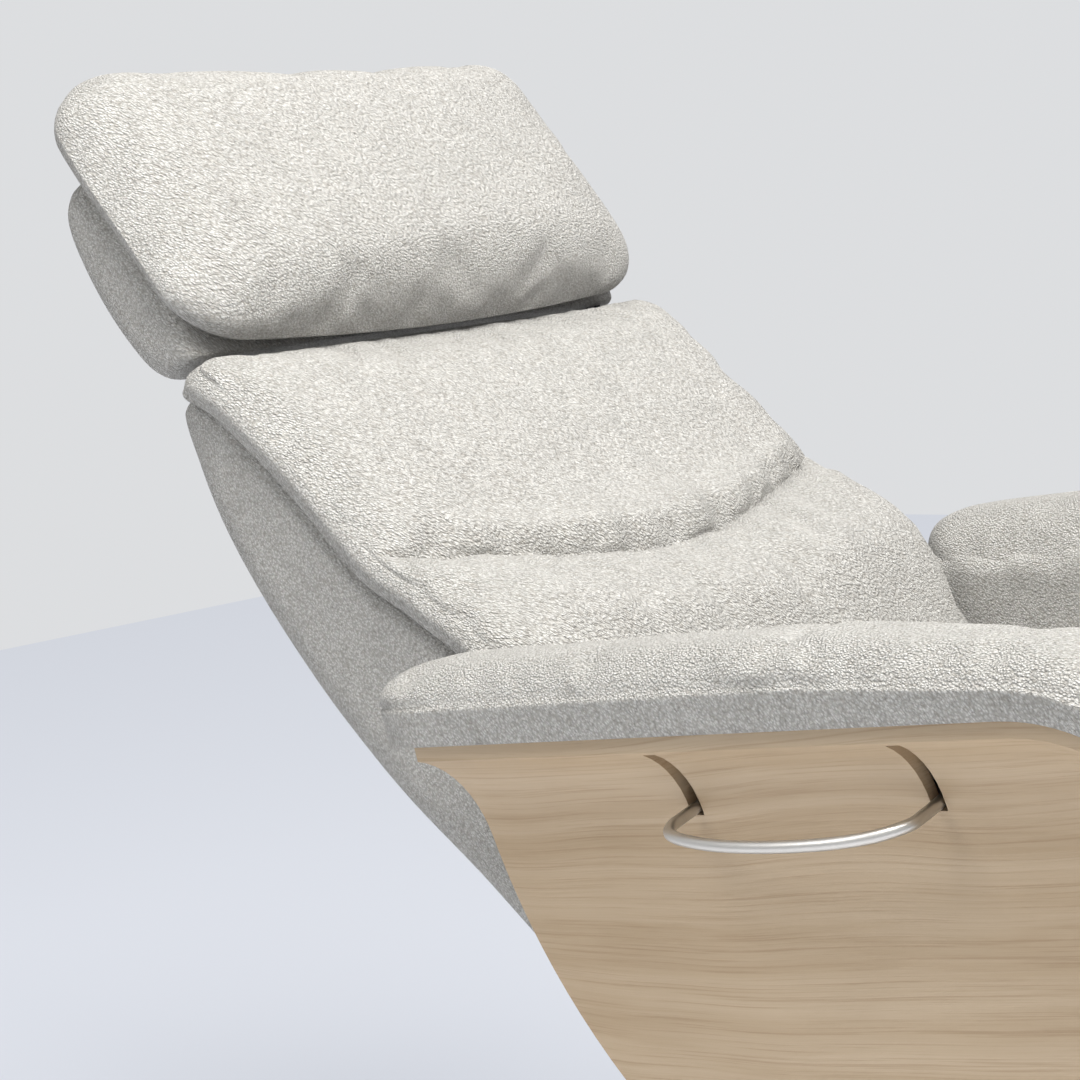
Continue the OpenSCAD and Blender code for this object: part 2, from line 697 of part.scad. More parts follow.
// Back: paired points on the cushion's front seam line and on the shell's rear face
back_front = [[178, 430], [182, 462], [199, 507], [241, 584], [300, 624], [344, 648],
    [400, 700], [450, 743], [497, 781]];
back_rear = [[206, 360], [240, 382], [292, 425], [352, 469], [397, 510], [432, 546],
    [481, 606], [519, 668], [544, 743]];
function back_depth(u) = norm(curve(back_rear, u) - curve(back_front, u));
function back_at(u, d) = curve(back_front, u)
    + d * unit(curve(back_rear, u) - curve(back_front, u));
shell_front = back_cushion_t + 3 * soft_gap;
board_front = back_cushion_t + 2 * soft_gap;
board_back = board_front + board_t;
cushion_from = 0.2;
board_from = 0.225;
board_to = 0.95;
board_parts = 14;
function board_u(k) = board_from + (board_to - board_from) * k / board_parts;
back_hw = back_w / 2;

// Ring of the back shell: flat front rim, rounded rear corners
function shell_ring(u, hw, front, depth, r, x_in, at) = let (
    rr = min(r, (depth - front) * 0.6),
    side = concat([[hw - 3, front], [hw, front + 3]],
        [for (a = [0:18:90]) [hw - rr + rr * cos(a), depth - rr + rr * sin(a)]]))
    [for (q = concat(side, [for (k = [len(side) - 1:-1:0]) [-side[k][0], side[k][1]]]))
        let (p = at + q[1] * x_in) [q[0], p[0], p[1]]];
function back_dir(u) = unit(curve(back_rear, u) - curve(back_front, u));
shell_inset = [[0, 14], [0.01, 6], [0.03, 1.5], [0.06, 0]];
module back_shell_body() {
    loft([for (u = concat([0, 0.01, 0.03], [for (k = [1:15]) 0.06 * k], [0.94, 0.97, 0.99, 1]))
        let (e = lookup(u, concat(shell_inset, [[0.94, 0], [0.97, 2], [0.99, 5], [1, 9]])))
        shell_ring(u, back_hw - e, shell_front, back_depth(u) - e, shell_corner, back_dir(u),
            curve(back_front, u))]);
}
hollow_low = 0.065;
hollow_lip = 0.185;
top_reach = [36, 29];
shell_hollow = concat(
    [back_at(1, -40) + top_reach],
    [for (u = [1:-0.05:0.2]) back_at(u, -40)],
    [back_at(hollow_lip, shell_front + shell_wall), back_at(0.12, shell_front + shell_wall),
        back_at(hollow_low, shell_front + shell_wall)],
    [for (u = [hollow_low, 0.12, 0.2, 0.3, 0.4, 0.5, 0.6, 0.7, 0.8, 0.9, 1])
        back_at(u, back_depth(u) - shell_wall)],
    [back_at(1, back_depth(1) - shell_wall) + top_reach]);
bar_slot = 4;
lever_t = 8;
module back_shell() {
    color("gainsboro") difference() {
        back_shell_body();
        side_plate(shell_wall - back_hw, 2 * (back_hw - shell_wall)) polygon(shell_hollow);
        for (s = [0, 1]) mirror([s, 0, 0])
            side_plate(upright_x - bar_slot, upright_t + 2 * bar_slot)
            bar_outline(recline, upright_knee, upright_w + 2 * bar_slot);
        side_plate(-lever_t / 2 - bar_slot, lever_t + 2 * bar_slot)
            bar_outline(lower_tube, lever_bend, lever_w + 2 * bar_slot);
    }
}

// Back cushion with its lumbar seam dipping at the middle
seam_u = 0.625;
function seam_shift(u, x) = -seam_dip / 560 * (1 - x * x)
    * sin(180 * (u - cushion_from) / (1 - cushion_from));
cushion_round = 0.05;
function cushion_end(u) = let (e = min(u - cushion_from, 1 - u))
    e >= cushion_round ? 1 : sqrt(1 - pow(1 - e / cushion_round, 2));
function cushion_ring(u) = let (
    f = cushion_end(u),
    t = back_cushion_t,
    w = back_hw * (0.97 + 0.03 * f),
    groove = seam_depth * exp(-pow((u - seam_u) / 0.014, 2)),
    front = [for (x = [1, 0.93, 0.8, 0.6, 0.4, 0.2, 0, -0.2, -0.4, -0.6, -0.8, -0.93, -1])
        let (v = u + seam_shift(u, x), p = back_at(v, (t * 0.45) * (1 - f)
            - (back_crown * f * pow(1 - x * x, 0.7)) + groove * (abs(x) > 0.95 ? 0.3 : 1)))
        [x * (w - 2), p[0], p[1]]],
    rear = [for (q = [[-w, 0.2], [-w, 0.75], [-w + 6, 1], [0, 1], [w - 6, 1], [w, 0.75], [w, 0.2]])
        let (p = back_at(u, t * (0.45 * (1 - f) + q[1] * (0.55 + 0.45 * f) * (q[1] > 0.9 ? 1 : 0.9))))
        [q[0], p[0], p[1]]])
    concat(front, rear);
cushion_us = concat([0.2005, 0.203, 0.21, 0.225, 0.25, 0.29, 0.34, 0.39, 0.44, 0.49, 0.54, 0.58],
    [0.6, 0.612, 0.625, 0.638, 0.65, 0.68, 0.73, 0.78, 0.83, 0.88, 0.92, 0.95],
    [0.975, 0.99, 0.997, 0.9995]);
module back_cushion() {
    color("whitesmoke") loft([for (u = cushion_us) cushion_ring(u)]);
}

// Back frame: plywood board behind the cushion, steel uprights, cross tubes and lever
function board_edge(k0, k1, d) = [for (k = [k0:sign(k1 - k0):k1]) back_at(board_u(k), d)];
module back_board() {
    color("tan") side_plate(2 * shell_wall - back_hw, 2 * (back_hw - 2 * shell_wall))
        polygon(concat(board_edge(0, board_parts, board_front), board_edge(board_parts, 0, board_back)));
}
tilt = [tilt_y, tilt_z];
tilt_r = 6;
upright_w = 24;
upright_top_w = 15;
lower_tube_r = 11;
upper_tube_r = 6;
lower_tube_boss = 3.5;
lower_tube = back_at(0.25, board_back + lower_tube_r + lower_tube_boss + 1);
upper_tube = back_at(0.91, board_back + 7.2);
// Flat bar outline: round ends at the pivots, following the board in between
function heading(p, q) = atan2(q[1] - p[1], q[0] - p[0]);
upright_knee = back_at(0.2, board_back + upright_w / 2);
module back_upright() {
    foot = heading(recline, upright_knee);
    head = heading(back_at(board_u(13), board_back + upright_top_w / 2), tilt);
    difference() {
        side_plate(upright_x, upright_t)
            polygon(concat(arc(recline, upright_w / 2, foot + 270, foot + 90, 12),
                [back_at(0.2, board_back + 1)], board_edge(0, board_parts, board_back),
                [back_at(1, board_back)], arc(tilt, tilt_r + 4, 180, head - 90, 14),
                [back_at(board_u(13), board_back + upright_top_w)],
                board_edge(11, 0, board_back + upright_w), [back_at(0.2, board_back + upright_w)]));
        cross_bar(recline[0], recline[1], pivot_r + run_fit, upright_x - 1, upright_x + upright_t + 1);
        cross_bar(tilt[0], tilt[1], tilt_r, upright_x - 1, upright_x + upright_t + 1);
    }
}
module back_upright_right() {
    color("dimgray") mirrored() back_upright();
}
module back_upright_left() {
    color("dimgray") back_upright();
}
module back_lower_tube() {
    color("dimgray") cross_bar(lower_tube[0], lower_tube[1], lower_tube_r, -upright_x, upright_x);
}
module back_upper_tube() {
    color("dimgray") cross_bar(upper_tube[0], upper_tube[1], upper_tube_r, -upright_x, upright_x);
}
lever_drop = 140;
lever_lead = 15;
bend_drop = 58;
bend_set = 20;
lever_end = recline + [-lever_lead, -lever_drop];
lever_bend = recline + [bend_set, -bend_drop];
lever_w = 18;
lever_pin_r = 4;
lever_pin_half = 11;
module recline_lever() {
    upper = heading(lower_tube, lever_bend);
    lower = heading(lever_bend, lever_end);
    r = lever_w / 2;
    function off(p, a) = p + r * [cos(a), sin(a)];
    color("dimgray") {
        difference() {
            side_plate(-lever_t / 2, lever_t) polygon(concat(
                arc(lower_tube, lower_tube_r + lower_tube_boss, upper + 320, upper + 40, 20),
                [off(lever_bend, (upper + lower) / 2 + 90)],
                arc(lever_end, r, lower + 90, lower - 90, 12),
                [off(lever_bend, (upper + lower) / 2 - 90)]));
            cross_bar(lower_tube[0], lower_tube[1], lower_tube_r, -lever_t, lever_t);
        }
        cross_bar(lever_end[0], lever_end[1], lever_pin_r, -lever_pin_half, lever_pin_half);
    }
}

// Gas spring: cylinder on its anchor pin, rod ending in a fork round the lever
anchor = [-anchor_front, anchor_z];
module gas_anchor_pin() {
    color("silver") cross_bar(anchor[0], anchor[1], anchor_r, -beam_spacing / 2, beam_spacing / 2);
}
spring_tilt = atan2(lever_end[1] - anchor[1], lever_end[0] - anchor[0]);
spring_len = norm(lever_end - anchor);
module on_spring() {
    translate([0, anchor[0], anchor[1]]) rotate([spring_tilt, 0, 0]) children();
}
eye_r = 9;
eye_w = 16;
bore_start = 16;
gland_len = 12;
tube_wall = 1.5;
module gas_cylinder() {
    color("black") difference() {
        union() {
            on_spring() translate([0, eye_r - 2, 0]) rotate([-90, 0, 0])
                cylinder(r = gas_d / 2, h = cylinder_len - eye_r + 2);
            cross_bar(anchor[0], anchor[1], eye_r, -eye_w / 2, eye_w / 2);
        }
        cross_bar(anchor[0], anchor[1], anchor_r + run_fit, -gas_d, gas_d);
        on_spring() translate([0, bore_start, 0]) rotate([-90, 0, 0])
            cylinder(r = gas_d / 2 - tube_wall, h = cylinder_len - bore_start - gland_len);
        on_spring() translate([0, bore_start, 0]) rotate([-90, 0, 0])
            cylinder(r = rod_d / 2 + run_fit, h = cylinder_len);
    }
}
piston_h = 8;
piston_start = 20;
fork_t = 4;
fork_gap = 1.5;
fork_reach = 26;
fork_clear = 6;
fork_half = lever_t / 2 + fork_gap;
module gas_rod() {
    fork_r = lever_pin_r + fork_clear;
    color("silver") on_spring() difference() {
        union() {
            translate([0, piston_start, 0]) rotate([-90, 0, 0])
                cylinder(r = gas_d / 2 - tube_wall - run_fit, h = piston_h);
            translate([0, piston_start, 0]) rotate([-90, 0, 0])
                cylinder(r = rod_d / 2, h = spring_len - fork_reach - piston_start);
            translate([-fork_half - fork_t, spring_len - fork_reach, -fork_r - 3])
                cube([2 * (fork_half + fork_t), 8, 2 * fork_r + 6]);
            for (s = [-1, 1]) translate([s * (fork_half + fork_t / 2) - fork_t / 2,
                spring_len - fork_reach, -fork_r - 3]) cube([fork_t, fork_reach, 2 * fork_r + 6]);
            for (s = [-1, 1]) translate([s * (fork_half + fork_t / 2) - fork_t / 2, spring_len, 0])
                rotate([0, 90, 0]) cylinder(r = fork_r + 3, h = fork_t);
        }
        translate([-20, spring_len, 0]) rotate([0, 90, 0]) cylinder(r = fork_r, h = 40);
    }
}

// Headrest: paired points on the cushion's front seam line and on its shell's rear face
head_front = [[476, 797], [508, 838], [545, 885], [580, 930], [610, 977]];
head_rear = [[562, 758], [596, 789], [624, 824], [646, 866], [657, 914]];
head_pad = [24, 27, 32, 42, 54];
head_hw = head_w / 2;
head_wall = 10;
head_board_t = 6;
function head_dir(u) = unit(curve(head_rear, u) - curve(head_front, u));
function head_depth(u) = norm(curve(head_rear, u) - curve(head_front, u));
function head_at(u, d) = curve(head_front, u) + d * head_dir(u);
// Points along the headrest's board, from step k0 to step k1, at depth d behind the cushion
function head_edge(k0, k1, d) = [for (k = [k0:sign(k1 - k0):k1]) let (u = 0.12 + 0.085 * k)
    head_at(u, curve(head_pad, u) + d)];
head_round = 0.13;
function head_end(u) = let (e = min(u, 1 - u))
    e >= head_round ? 1 : sqrt(1 - pow(1 - e / head_round, 2));
function head_ring(u) = let (
    f = head_end(u),
    t = curve(head_pad, u),
    w = head_hw * (0.95 + 0.05 * f),
    front = [for (x = [1, 0.95, 0.84, 0.66, 0.45, 0.22, 0, -0.22, -0.45, -0.66, -0.84, -0.95, -1])
        let (p = head_at(u, t * 0.45 * (1 - f) - head_crown * f * pow(1 - x * x, 0.55)))
        [x * (w - 3), p[0], p[1]]],
    rear = [for (q = [[-w, 0.25], [-w, 0.75], [-w + 8, 1], [0, 1], [w - 8, 1], [w, 0.75], [w, 0.25]])
        let (p = head_at(u, t * (0.45 * (1 - f) + q[1] * (0.55 + 0.45 * f))))
        [q[0], p[0], p[1]]])
    concat(front, rear);
module headrest_cushion() {
    color("whitesmoke") loft([for (u = [0.001, 0.01, 0.03, 0.07, 0.13, 0.22, 0.32, 0.42, 0.52,
        0.62, 0.72, 0.8, 0.87, 0.93, 0.97, 0.99, 0.999]) head_ring(u)]);
}
head_shell_end = 0.93;
head_shell_inset = [[0.03, 6], [0.05, 2], [0.09, 0], [0.8, 0], [0.86, 2], [0.9, 6], [0.93, 14]];
head_hollow = concat([for (u = [0.82:-0.1:0.02]) head_at(u, -60)],
    [head_at(0, -60) - [40, 50], head_at(0, head_depth(0) - head_wall) - [40, 50]],
    [for (u = [0, 0.1, 0.25, 0.4, 0.55, 0.7, 0.82]) head_at(u, head_depth(u) - head_wall)]);
module head_shell() {
    color("gainsboro") difference() {
        loft([for (u = [0.03, 0.05, 0.09, 0.18, 0.3, 0.42, 0.55, 0.68, 0.8, 0.86, 0.9, 0.93])
            let (e = lookup(u, head_shell_inset))
            shell_ring(u, head_hw - 2 - e, curve(head_pad, u) + soft_gap, head_depth(u) - e,
                shell_corner * 0.7, head_dir(u), curve(head_front, u))]);
        side_plate(head_wall - head_hw, 2 * (head_hw - head_wall)) polygon(head_hollow);
    }
}
module head_board() {
    color("tan") side_plate(2 * head_wall - head_hw, 2 * (head_hw - 2 * head_wall))
        polygon(concat(head_edge(0, 8, 2 * soft_gap), head_edge(8, 0, head_arm_d)));
}
arm_gap = 3;
head_arm_x = min(upright_x, head_hw - head_wall) - arm_gap - upright_t;
head_arm_w = 18;
head_arm_d = 2 * soft_gap + head_board_t;
module head_arm() {
    foot = heading(tilt, head_edge(1, 2, head_arm_d + head_arm_w / 2)[0]);
    difference() {
        side_plate(head_arm_x, upright_t)
            polygon(concat(arc(tilt, head_arm_w / 2, foot + 270, foot + 90, 12),
                head_edge(1, 8, head_arm_d), head_edge(8, 1, head_arm_d + head_arm_w)));
        cross_bar(tilt[0], tilt[1], tilt_r + run_fit, head_arm_x - 1, upright_x);
    }
}
module head_arm_right() {
    color("dimgray") mirrored() head_arm();
}
module head_arm_left() {
    color("dimgray") head_arm();
}
module head_crossbar() {
    p = head_at(0.5, curve(head_pad, 0.5) + head_arm_d + head_arm_w / 2);
    color("dimgray") cross_bar(p[0], p[1], head_arm_w / 2 - 1, -head_arm_x, head_arm_x);
}
module tilt_pin() {
    cross_bar(tilt[0], tilt[1], tilt_r, head_arm_x - 2, upright_x + upright_t + 1);
}
module tilt_pin_right() {
    color("silver") mirrored() tilt_pin();
}
module tilt_pin_left() {
    color("silver") tilt_pin();
}

// Star base, column, bushes and swivel
hub_wall = 8;
star_tip_r = star_tip_w / 2;
star_valley = star_root_w / 2 / sin(180 / star_arms);
function turned(p, a) = [p[0] * cos(a) - p[1] * sin(a), p[0] * sin(a) + p[1] * cos(a)];
function star_outline() = [for (k = [0:star_arms - 1]) for (p = concat(
    [turned([star_valley, 0], -180 / star_arms)],
    arc([base_d / 2 - star_tip_r, 0], star_tip_r, -90, 90, 16))) turned(p, k * 360 / star_arms - 90)];
module star_base() {
    top = glide_h + star_hub_h;
    color("silver") difference() {
        intersection() {
            translate([0, 0, glide_h]) linear_extrude(star_hub_h) polygon(star_outline());
            rotate_extrude() polygon([[0, glide_h - 1], [base_d / 2 + 1, glide_h - 1],
                [base_d / 2 + 1, glide_h + star_tip_h], [column_d / 2 + hub_wall, top], [0, top]]);
        }
        translate([0, 0, glide_h - 1]) cylinder(r = column_d / 2, h = star_hub_h + 2);
    }
}
glide_r = 16;
module floor_glides() {
    color("dimgray") for (k = [0:star_arms - 1]) rotate([0, 0, -90 + k * 360 / star_arms])
        translate([base_d / 2 - star_tip_w / 2, 0, 0]) cylinder(r = glide_r, h = glide_h);
}
column_in = column_d / 2 - column_wall;
spindle_r = spindle_d / 2;
module column_tube() {
    color("silver") difference() {
        translate([0, 0, glide_h]) cylinder(r = column_d / 2, h = column_top - glide_h);
        translate([0, 0, glide_h - 1]) cylinder(r = column_in, h = column_top);
    }
}
bush_h = 30;
module bush(z) {
    translate([0, 0, z]) difference() {
        cylinder(r = column_in, h = bush_h);
        translate([0, 0, -1]) cylinder(r = spindle_r + run_fit, h = bush_h + 2);
    }
}
lower_bush_z = 40;
module lower_bush() {
    color("ivory") bush(lower_bush_z);
}
module upper_bush() {
    color("ivory") bush(column_top - bush_h);
}
washer_t = 3;
module thrust_washer() {
    color("ivory") translate([0, 0, column_top]) difference() {
        cylinder(r = column_d / 2, h = washer_t);
        translate([0, 0, -1]) cylinder(r = spindle_r + 1, h = washer_t + 2);
    }
}
clip_t = 3;
groove_depth = 1.5;
clip_z = lower_bush_z - 1 - clip_t;
collar_h = 10;
plate_bottom = beam_z - plate_t;
collar_z = column_top + washer_t + run_fit;
module swivel_spindle() {
    color("silver") difference() {
        union() {
            translate([0, 0, clip_z - 6]) cylinder(r = spindle_r, h = collar_z - clip_z + 6);
            translate([0, 0, collar_z]) cylinder(r = column_d / 2 + 2, h = collar_h);
            translate([0, 0, collar_z]) cylinder(r = column_d / 2 - 6, h = plate_bottom - collar_z);
        }
        translate([0, 0, clip_z]) difference() {
            cylinder(r = spindle_r + 1, h = clip_t);
            cylinder(r = spindle_r - groove_depth, h = clip_t);
        }
    }
}
module spindle_clip() {
    color("dimgray") translate([0, 0, clip_z]) difference() {
        cylinder(r = spindle_r + 5, h = clip_t);
        translate([0, 0, -1]) cylinder(r = spindle_r - groove_depth, h = clip_t + 2);
    }
}
plate_len = 2 * plate_bolt_y + 50;
module swivel_plate() {
    color("dimgray") difference() {
        translate([-beam_spacing / 2 - beam_w, -plate_len / 2, plate_bottom])
            cube([beam_spacing + 2 * beam_w, plate_len, plate_t]);
        for (s = [-1, 1]) for (q = [-1, 1])
            translate([s * beam_spacing / 2, q * plate_bolt_y, plate_bottom - 1])
            cylinder(r = bolt_hole, h = plate_t + 2);
    }
}
module plate_bolts() {
    color("silver") for (s = [-1, 1]) for (q = [-1, 1])
        translate([s * beam_spacing / 2, q * plate_bolt_y, 0]) {
            translate([0, 0, plate_bottom - head_t]) cylinder(r = bolt_d * 0.85, h = head_t);
            translate([0, 0, plate_bottom]) cylinder(r = bolt_d / 2, h = plate_t + beam_wall + 6);
        }
}

star_base();
floor_glides();
column_tube();
lower_bush();
upper_bush();
thrust_washer();
swivel_spindle();
spindle_clip();
swivel_plate();
plate_bolts();
beam_right();
beam_left();
side_rail_right();
side_rail_left();
front_rail();
rear_rail();
seat_straps();
seat_cushion();
front_apron();
cleat_right();
cleat_left();
frame_bolts();
side_panel_right();
side_panel_left();
side_lining_right();
side_lining_left();
arm_rail_right();
arm_rail_left();
arm_pad_right();
arm_pad_left();
pivot_bracket_right();
pivot_bracket_left();
pivot_pin_right();
pivot_pin_left();
bracket_bolts();
handle_bail();
handle_shaft();
handle_bearings();
cable_quadrant();
cable_stops();
release_cable();
gas_anchor_pin();
gas_cylinder();
gas_rod();
back_upright_right();
back_upright_left();
back_lower_tube();
back_upper_tube();
recline_lever();
back_board();
back_shell();
back_cushion();
tilt_pin_right();
tilt_pin_left();
head_arm_right();
head_arm_left();
head_crossbar();
head_board();
head_shell();
headrest_cushion();
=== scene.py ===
import json
import math

import bmesh
import bpy
import numpy as np
from mathutils import Matrix, Vector, noise


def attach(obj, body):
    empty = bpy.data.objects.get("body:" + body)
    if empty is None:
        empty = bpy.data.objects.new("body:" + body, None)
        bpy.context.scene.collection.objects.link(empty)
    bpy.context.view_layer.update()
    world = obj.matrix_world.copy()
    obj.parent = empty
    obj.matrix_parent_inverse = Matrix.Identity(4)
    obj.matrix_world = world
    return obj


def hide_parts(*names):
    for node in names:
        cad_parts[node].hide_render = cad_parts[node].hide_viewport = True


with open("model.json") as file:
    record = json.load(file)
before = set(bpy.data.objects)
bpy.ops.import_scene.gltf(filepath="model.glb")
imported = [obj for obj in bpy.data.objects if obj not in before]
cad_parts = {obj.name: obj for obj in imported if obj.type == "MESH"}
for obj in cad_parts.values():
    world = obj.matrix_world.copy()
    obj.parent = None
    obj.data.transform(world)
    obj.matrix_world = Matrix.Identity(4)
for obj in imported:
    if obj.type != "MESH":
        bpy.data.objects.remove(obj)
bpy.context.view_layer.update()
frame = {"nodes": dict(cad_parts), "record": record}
nodes = frame["nodes"]

# The studio: a plain pale floor and wall, a broad soft light overhead and a weak one from the side.
# The camera stands where the photograph was taken, off the outside of the chair's right arm.
photo_side, focal_length = 1080, 2402.41
heading, drop, roll = -0.840195, 0.136108, -0.0895199
stand = (-1.3438, -0.7865, 0.8608)
forward = Vector((-math.sin(heading) * math.cos(drop), math.cos(heading) * math.cos(drop), -math.sin(drop)))
level = Vector((math.cos(heading), math.sin(heading), 0))
upright = level.cross(forward)
right = level * math.cos(roll) + upright * math.sin(roll)
above = upright * math.cos(roll) - level * math.sin(roll)
camera_data = bpy.data.cameras.new("camera")
camera_data.sensor_width = 36
camera_data.lens = focal_length / photo_side * camera_data.sensor_width
camera = bpy.data.objects.new("camera", camera_data)
camera.matrix_world = Matrix([(right[i], above[i], -forward[i], stand[i]) for i in range(3)]
                             + [(0, 0, 0, 1)])
bpy.context.collection.objects.link(camera)
scene = bpy.context.scene
scene.camera = camera
scene.view_settings.view_transform = "Standard"


class Finish:
    """A material's node tree, with one short call for each node and its inputs."""

    def __init__(self, name):
        self.material = bpy.data.materials.new(name)
        self.material.use_nodes = True
        self.tree = self.material.node_tree
        self.shader = self.tree.nodes["Principled BSDF"]

    def add(self, kind, inputs=None, **settings):
        node = self.tree.nodes.new("ShaderNode" + kind)
        for key, value in settings.items():
            setattr(node, key, value)
        for key, value in (inputs or {}).items():
            self.set(node, key, value)
        return node

    def set(self, node, key, value):
        if isinstance(value, bpy.types.NodeSocket):
            self.tree.links.new(value, node.inputs[key])
        else:
            node.inputs[key].default_value = value

    def ramp(self, factor, stops):
        node = self.add("ValToRGB", {"Fac": factor})
        ramp = node.color_ramp
        while len(ramp.elements) < len(stops):
            ramp.elements.new(0.5)
        for element, (at, colour) in zip(ramp.elements, stops):
            element.position = at
            element.color = (*colour, 1) if len(colour) == 3 else (colour[0],) * 3 + (1,)
        return node.outputs["Color"]

    def mix(self, factor, a, b, blend="MIX"):
        node = self.add("Mix", data_type="RGBA", blend_type=blend)
        for socket, value in ((node.inputs[0], factor), (node.inputs[6], a), (node.inputs[7], b)):
            if isinstance(value, bpy.types.NodeSocket):
                self.tree.links.new(value, socket)
            else:
                socket.default_value = value if isinstance(value, float) else (*value, 1)
        return node.outputs[2]

    def maths(self, operation, a, b):
        node = self.add("Math", operation=operation)
        self.set(node, 0, a)
        self.set(node, 1, b)
        return node.outputs[0]

    def place(self, scale=(1, 1, 1)):
        coordinates = self.add("TexCoord").outputs["Object"]
        return self.add("Mapping", {"Vector": coordinates, "Scale": scale}).outputs[0]

    def coat(self, colour, roughness, height=None, depth=0.001, metallic=0.0, sheen=0.0):
        self.set(self.shader, "Base Color", colour if not isinstance(colour, tuple) else (*colour, 1))
        self.set(self.shader, "Roughness", roughness)
        self.set(self.shader, "Metallic", metallic)
        self.set(self.shader, "Sheen Weight", sheen)
        if height is not None:
            bump = self.add("Bump", {"Height": height, "Distance": depth, "Strength": 1.0})
            self.set(self.shader, "Normal", bump.outputs[0])
        return self.material


def grid_mesh(name, points, faces):
    mesh = bpy.data.meshes.new(name)
    mesh.from_pydata([tuple(p) for p in points], [], faces)
    mesh.update()
    piece = bpy.data.objects.new(name, mesh)
    bpy.context.collection.objects.link(piece)
    mesh.polygons.foreach_set("use_smooth", [True] * len(mesh.polygons))
    return piece


room = [(-9, -9, 0), (4.47, -9, 0), (3.83, 3.35, 0), (-9, 5.17, 0)]
even_share = 0.8
floor = grid_mesh("floor", room, [(0, 1, 2, 3)])
paint = Finish("floor")
floor.data.materials.append(paint.coat((0.78, 0.80, 0.85), 0.9))
even = paint.add("Emission", {"Color": (0.694, 0.723, 0.791, 1), "Strength": 1.0})
share = paint.maths("MULTIPLY", paint.add("LightPath").outputs["Is Camera Ray"], even_share)
both = paint.add("MixShader", {0: share, 1: paint.shader.outputs[0], 2: even.outputs[0]})
paint.tree.links.new(both.outputs[0], paint.tree.nodes["Material Output"].inputs["Surface"])


def lamp(name, size, power, at, towards, colour):
    data = bpy.data.lights.new(name, "AREA")
    data.shape = "RECTANGLE"
    data.size, data.size_y = size
    data.energy = power
    data.color = colour
    light = bpy.data.objects.new(name, data)
    light.location = at
    light.rotation_euler = (Vector(towards) - Vector(at)).to_track_quat("-Z", "Y").to_euler()
    bpy.context.collection.objects.link(light)


lamp("overhead", size=(1.7, 1.7), power=178, at=(-0.42, -0.95, 3.3), towards=(0, 0.25, 0.6),
     colour=(1.0, 0.985, 0.955))
lamp("window", size=(2.4, 2.4), power=14, at=(2.4, -2.6, 1.9), towards=(0, 0.1, 0.6),
     colour=(1.0, 0.98, 0.95))
lamp("fill", size=(1.4, 1.4), power=24, at=(-2.1, 0.9, 2.5), towards=(0, 0.4, 0.6),
     colour=(1.0, 0.99, 0.97))
world = bpy.data.worlds.new("studio")
world.use_nodes = True
scene.world = world
tree = world.node_tree
ambient = tree.nodes["Background"]
ambient.inputs["Color"].default_value = (0.98, 0.985, 1.0, 1)
ambient.inputs["Strength"].default_value = 0.32
backdrop = tree.nodes.new("ShaderNodeBackground")
backdrop.inputs["Color"].default_value = (0.72, 0.73, 0.745, 1)
backdrop.inputs["Strength"].default_value = 1.0
rays = tree.nodes.new("ShaderNodeLightPath")
seen = tree.nodes.new("ShaderNodeMath")
seen.operation = "MAXIMUM"
tree.links.new(rays.outputs["Is Camera Ray"], seen.inputs[0])
tree.links.new(rays.outputs["Is Glossy Ray"], seen.inputs[1])
either = tree.nodes.new("ShaderNodeMixShader")
tree.links.new(seen.outputs[0], either.inputs[0])
tree.links.new(ambient.outputs[0], either.inputs[1])
tree.links.new(backdrop.outputs[0], either.inputs[2])
tree.links.new(either.outputs[0], tree.nodes["World Output"].inputs["Surface"])


# The swivel base: a five-armed star and its column, cast and brushed aluminium on black rubber glides.
# The spindle turns on nylon bushes and a washer inside the column. These show as the solids built.
def metal(name, colour, roughness):
    paint = Finish(name)
    where = paint.place((260, 260, 260))
    brushed = paint.add("TexNoise", {"Vector": where, "Scale": 4.0, "Detail": 3.0}).outputs["Fac"]
    rough = paint.ramp(brushed, [(0.3, (roughness * 0.8,)), (0.7, (roughness * 1.25,))])
    return paint.coat(colour, rough, brushed, 0.00003, metallic=1.0)


def plain(name, colour, roughness):
    paint = Finish(name)
    grain = paint.add("TexNoise", {"Vector": paint.place(), "Scale": 900.0, "Detail": 2.0}).outputs["Fac"]
    return paint.coat(colour, roughness, grain, 0.00008)


slots = {row["node"]: row["material_slot"] for row in frame["record"]["subparts"]}


def surface(slot, material):
    """Gives every solid of a slot its finish."""
    for name, node in nodes.items():
        if slots[name] == slot:
            node.data.materials.clear()
            node.data.materials.append(material)


black_plastic = plain("black_plastic", (0.025, 0.025, 0.025), 0.55)
surface("aluminium", metal("brushed_aluminium", (0.62, 0.62, 0.62), 0.38))
surface("nylon", plain("natural_nylon", (0.72, 0.70, 0.65), 0.5))
surface("glide_rubber", black_plastic)

# The seat frame: solid wood rails and cleats, glued and bolted, with plywood boards in the back and the
# headrest, and black elastic webbing stretched from rail to rail under the seat's cushion.
surface("frame_timber", plain("frame_timber", (0.50, 0.37, 0.22), 0.6))
surface("webbing", plain("black_webbing", (0.02, 0.02, 0.022), 0.9))

# The steelwork: welded beams, brackets, uprights and headrest arms in black powder coat, turning on
# bright steel pins. The gas spring locks the back, and the sheathed cable from the handle frees it.
bright = metal("brushed_steel", (0.56, 0.545, 0.52), 0.38)
surface("black_steel", plain("black_powder_coat", (0.02, 0.02, 0.022), 0.45))
surface("bright_steel", bright)
surface("cable_sheath", black_plastic)

# The side shells: oak veneers moulded to a flat wall whose top edge flares outward in a cove, cut
# square along the top, with a matt lacquer. The right one has two slots for the handle's legs.
grain_tilt, grain_bow, pore_share = math.radians(7), 0.035, 0.42


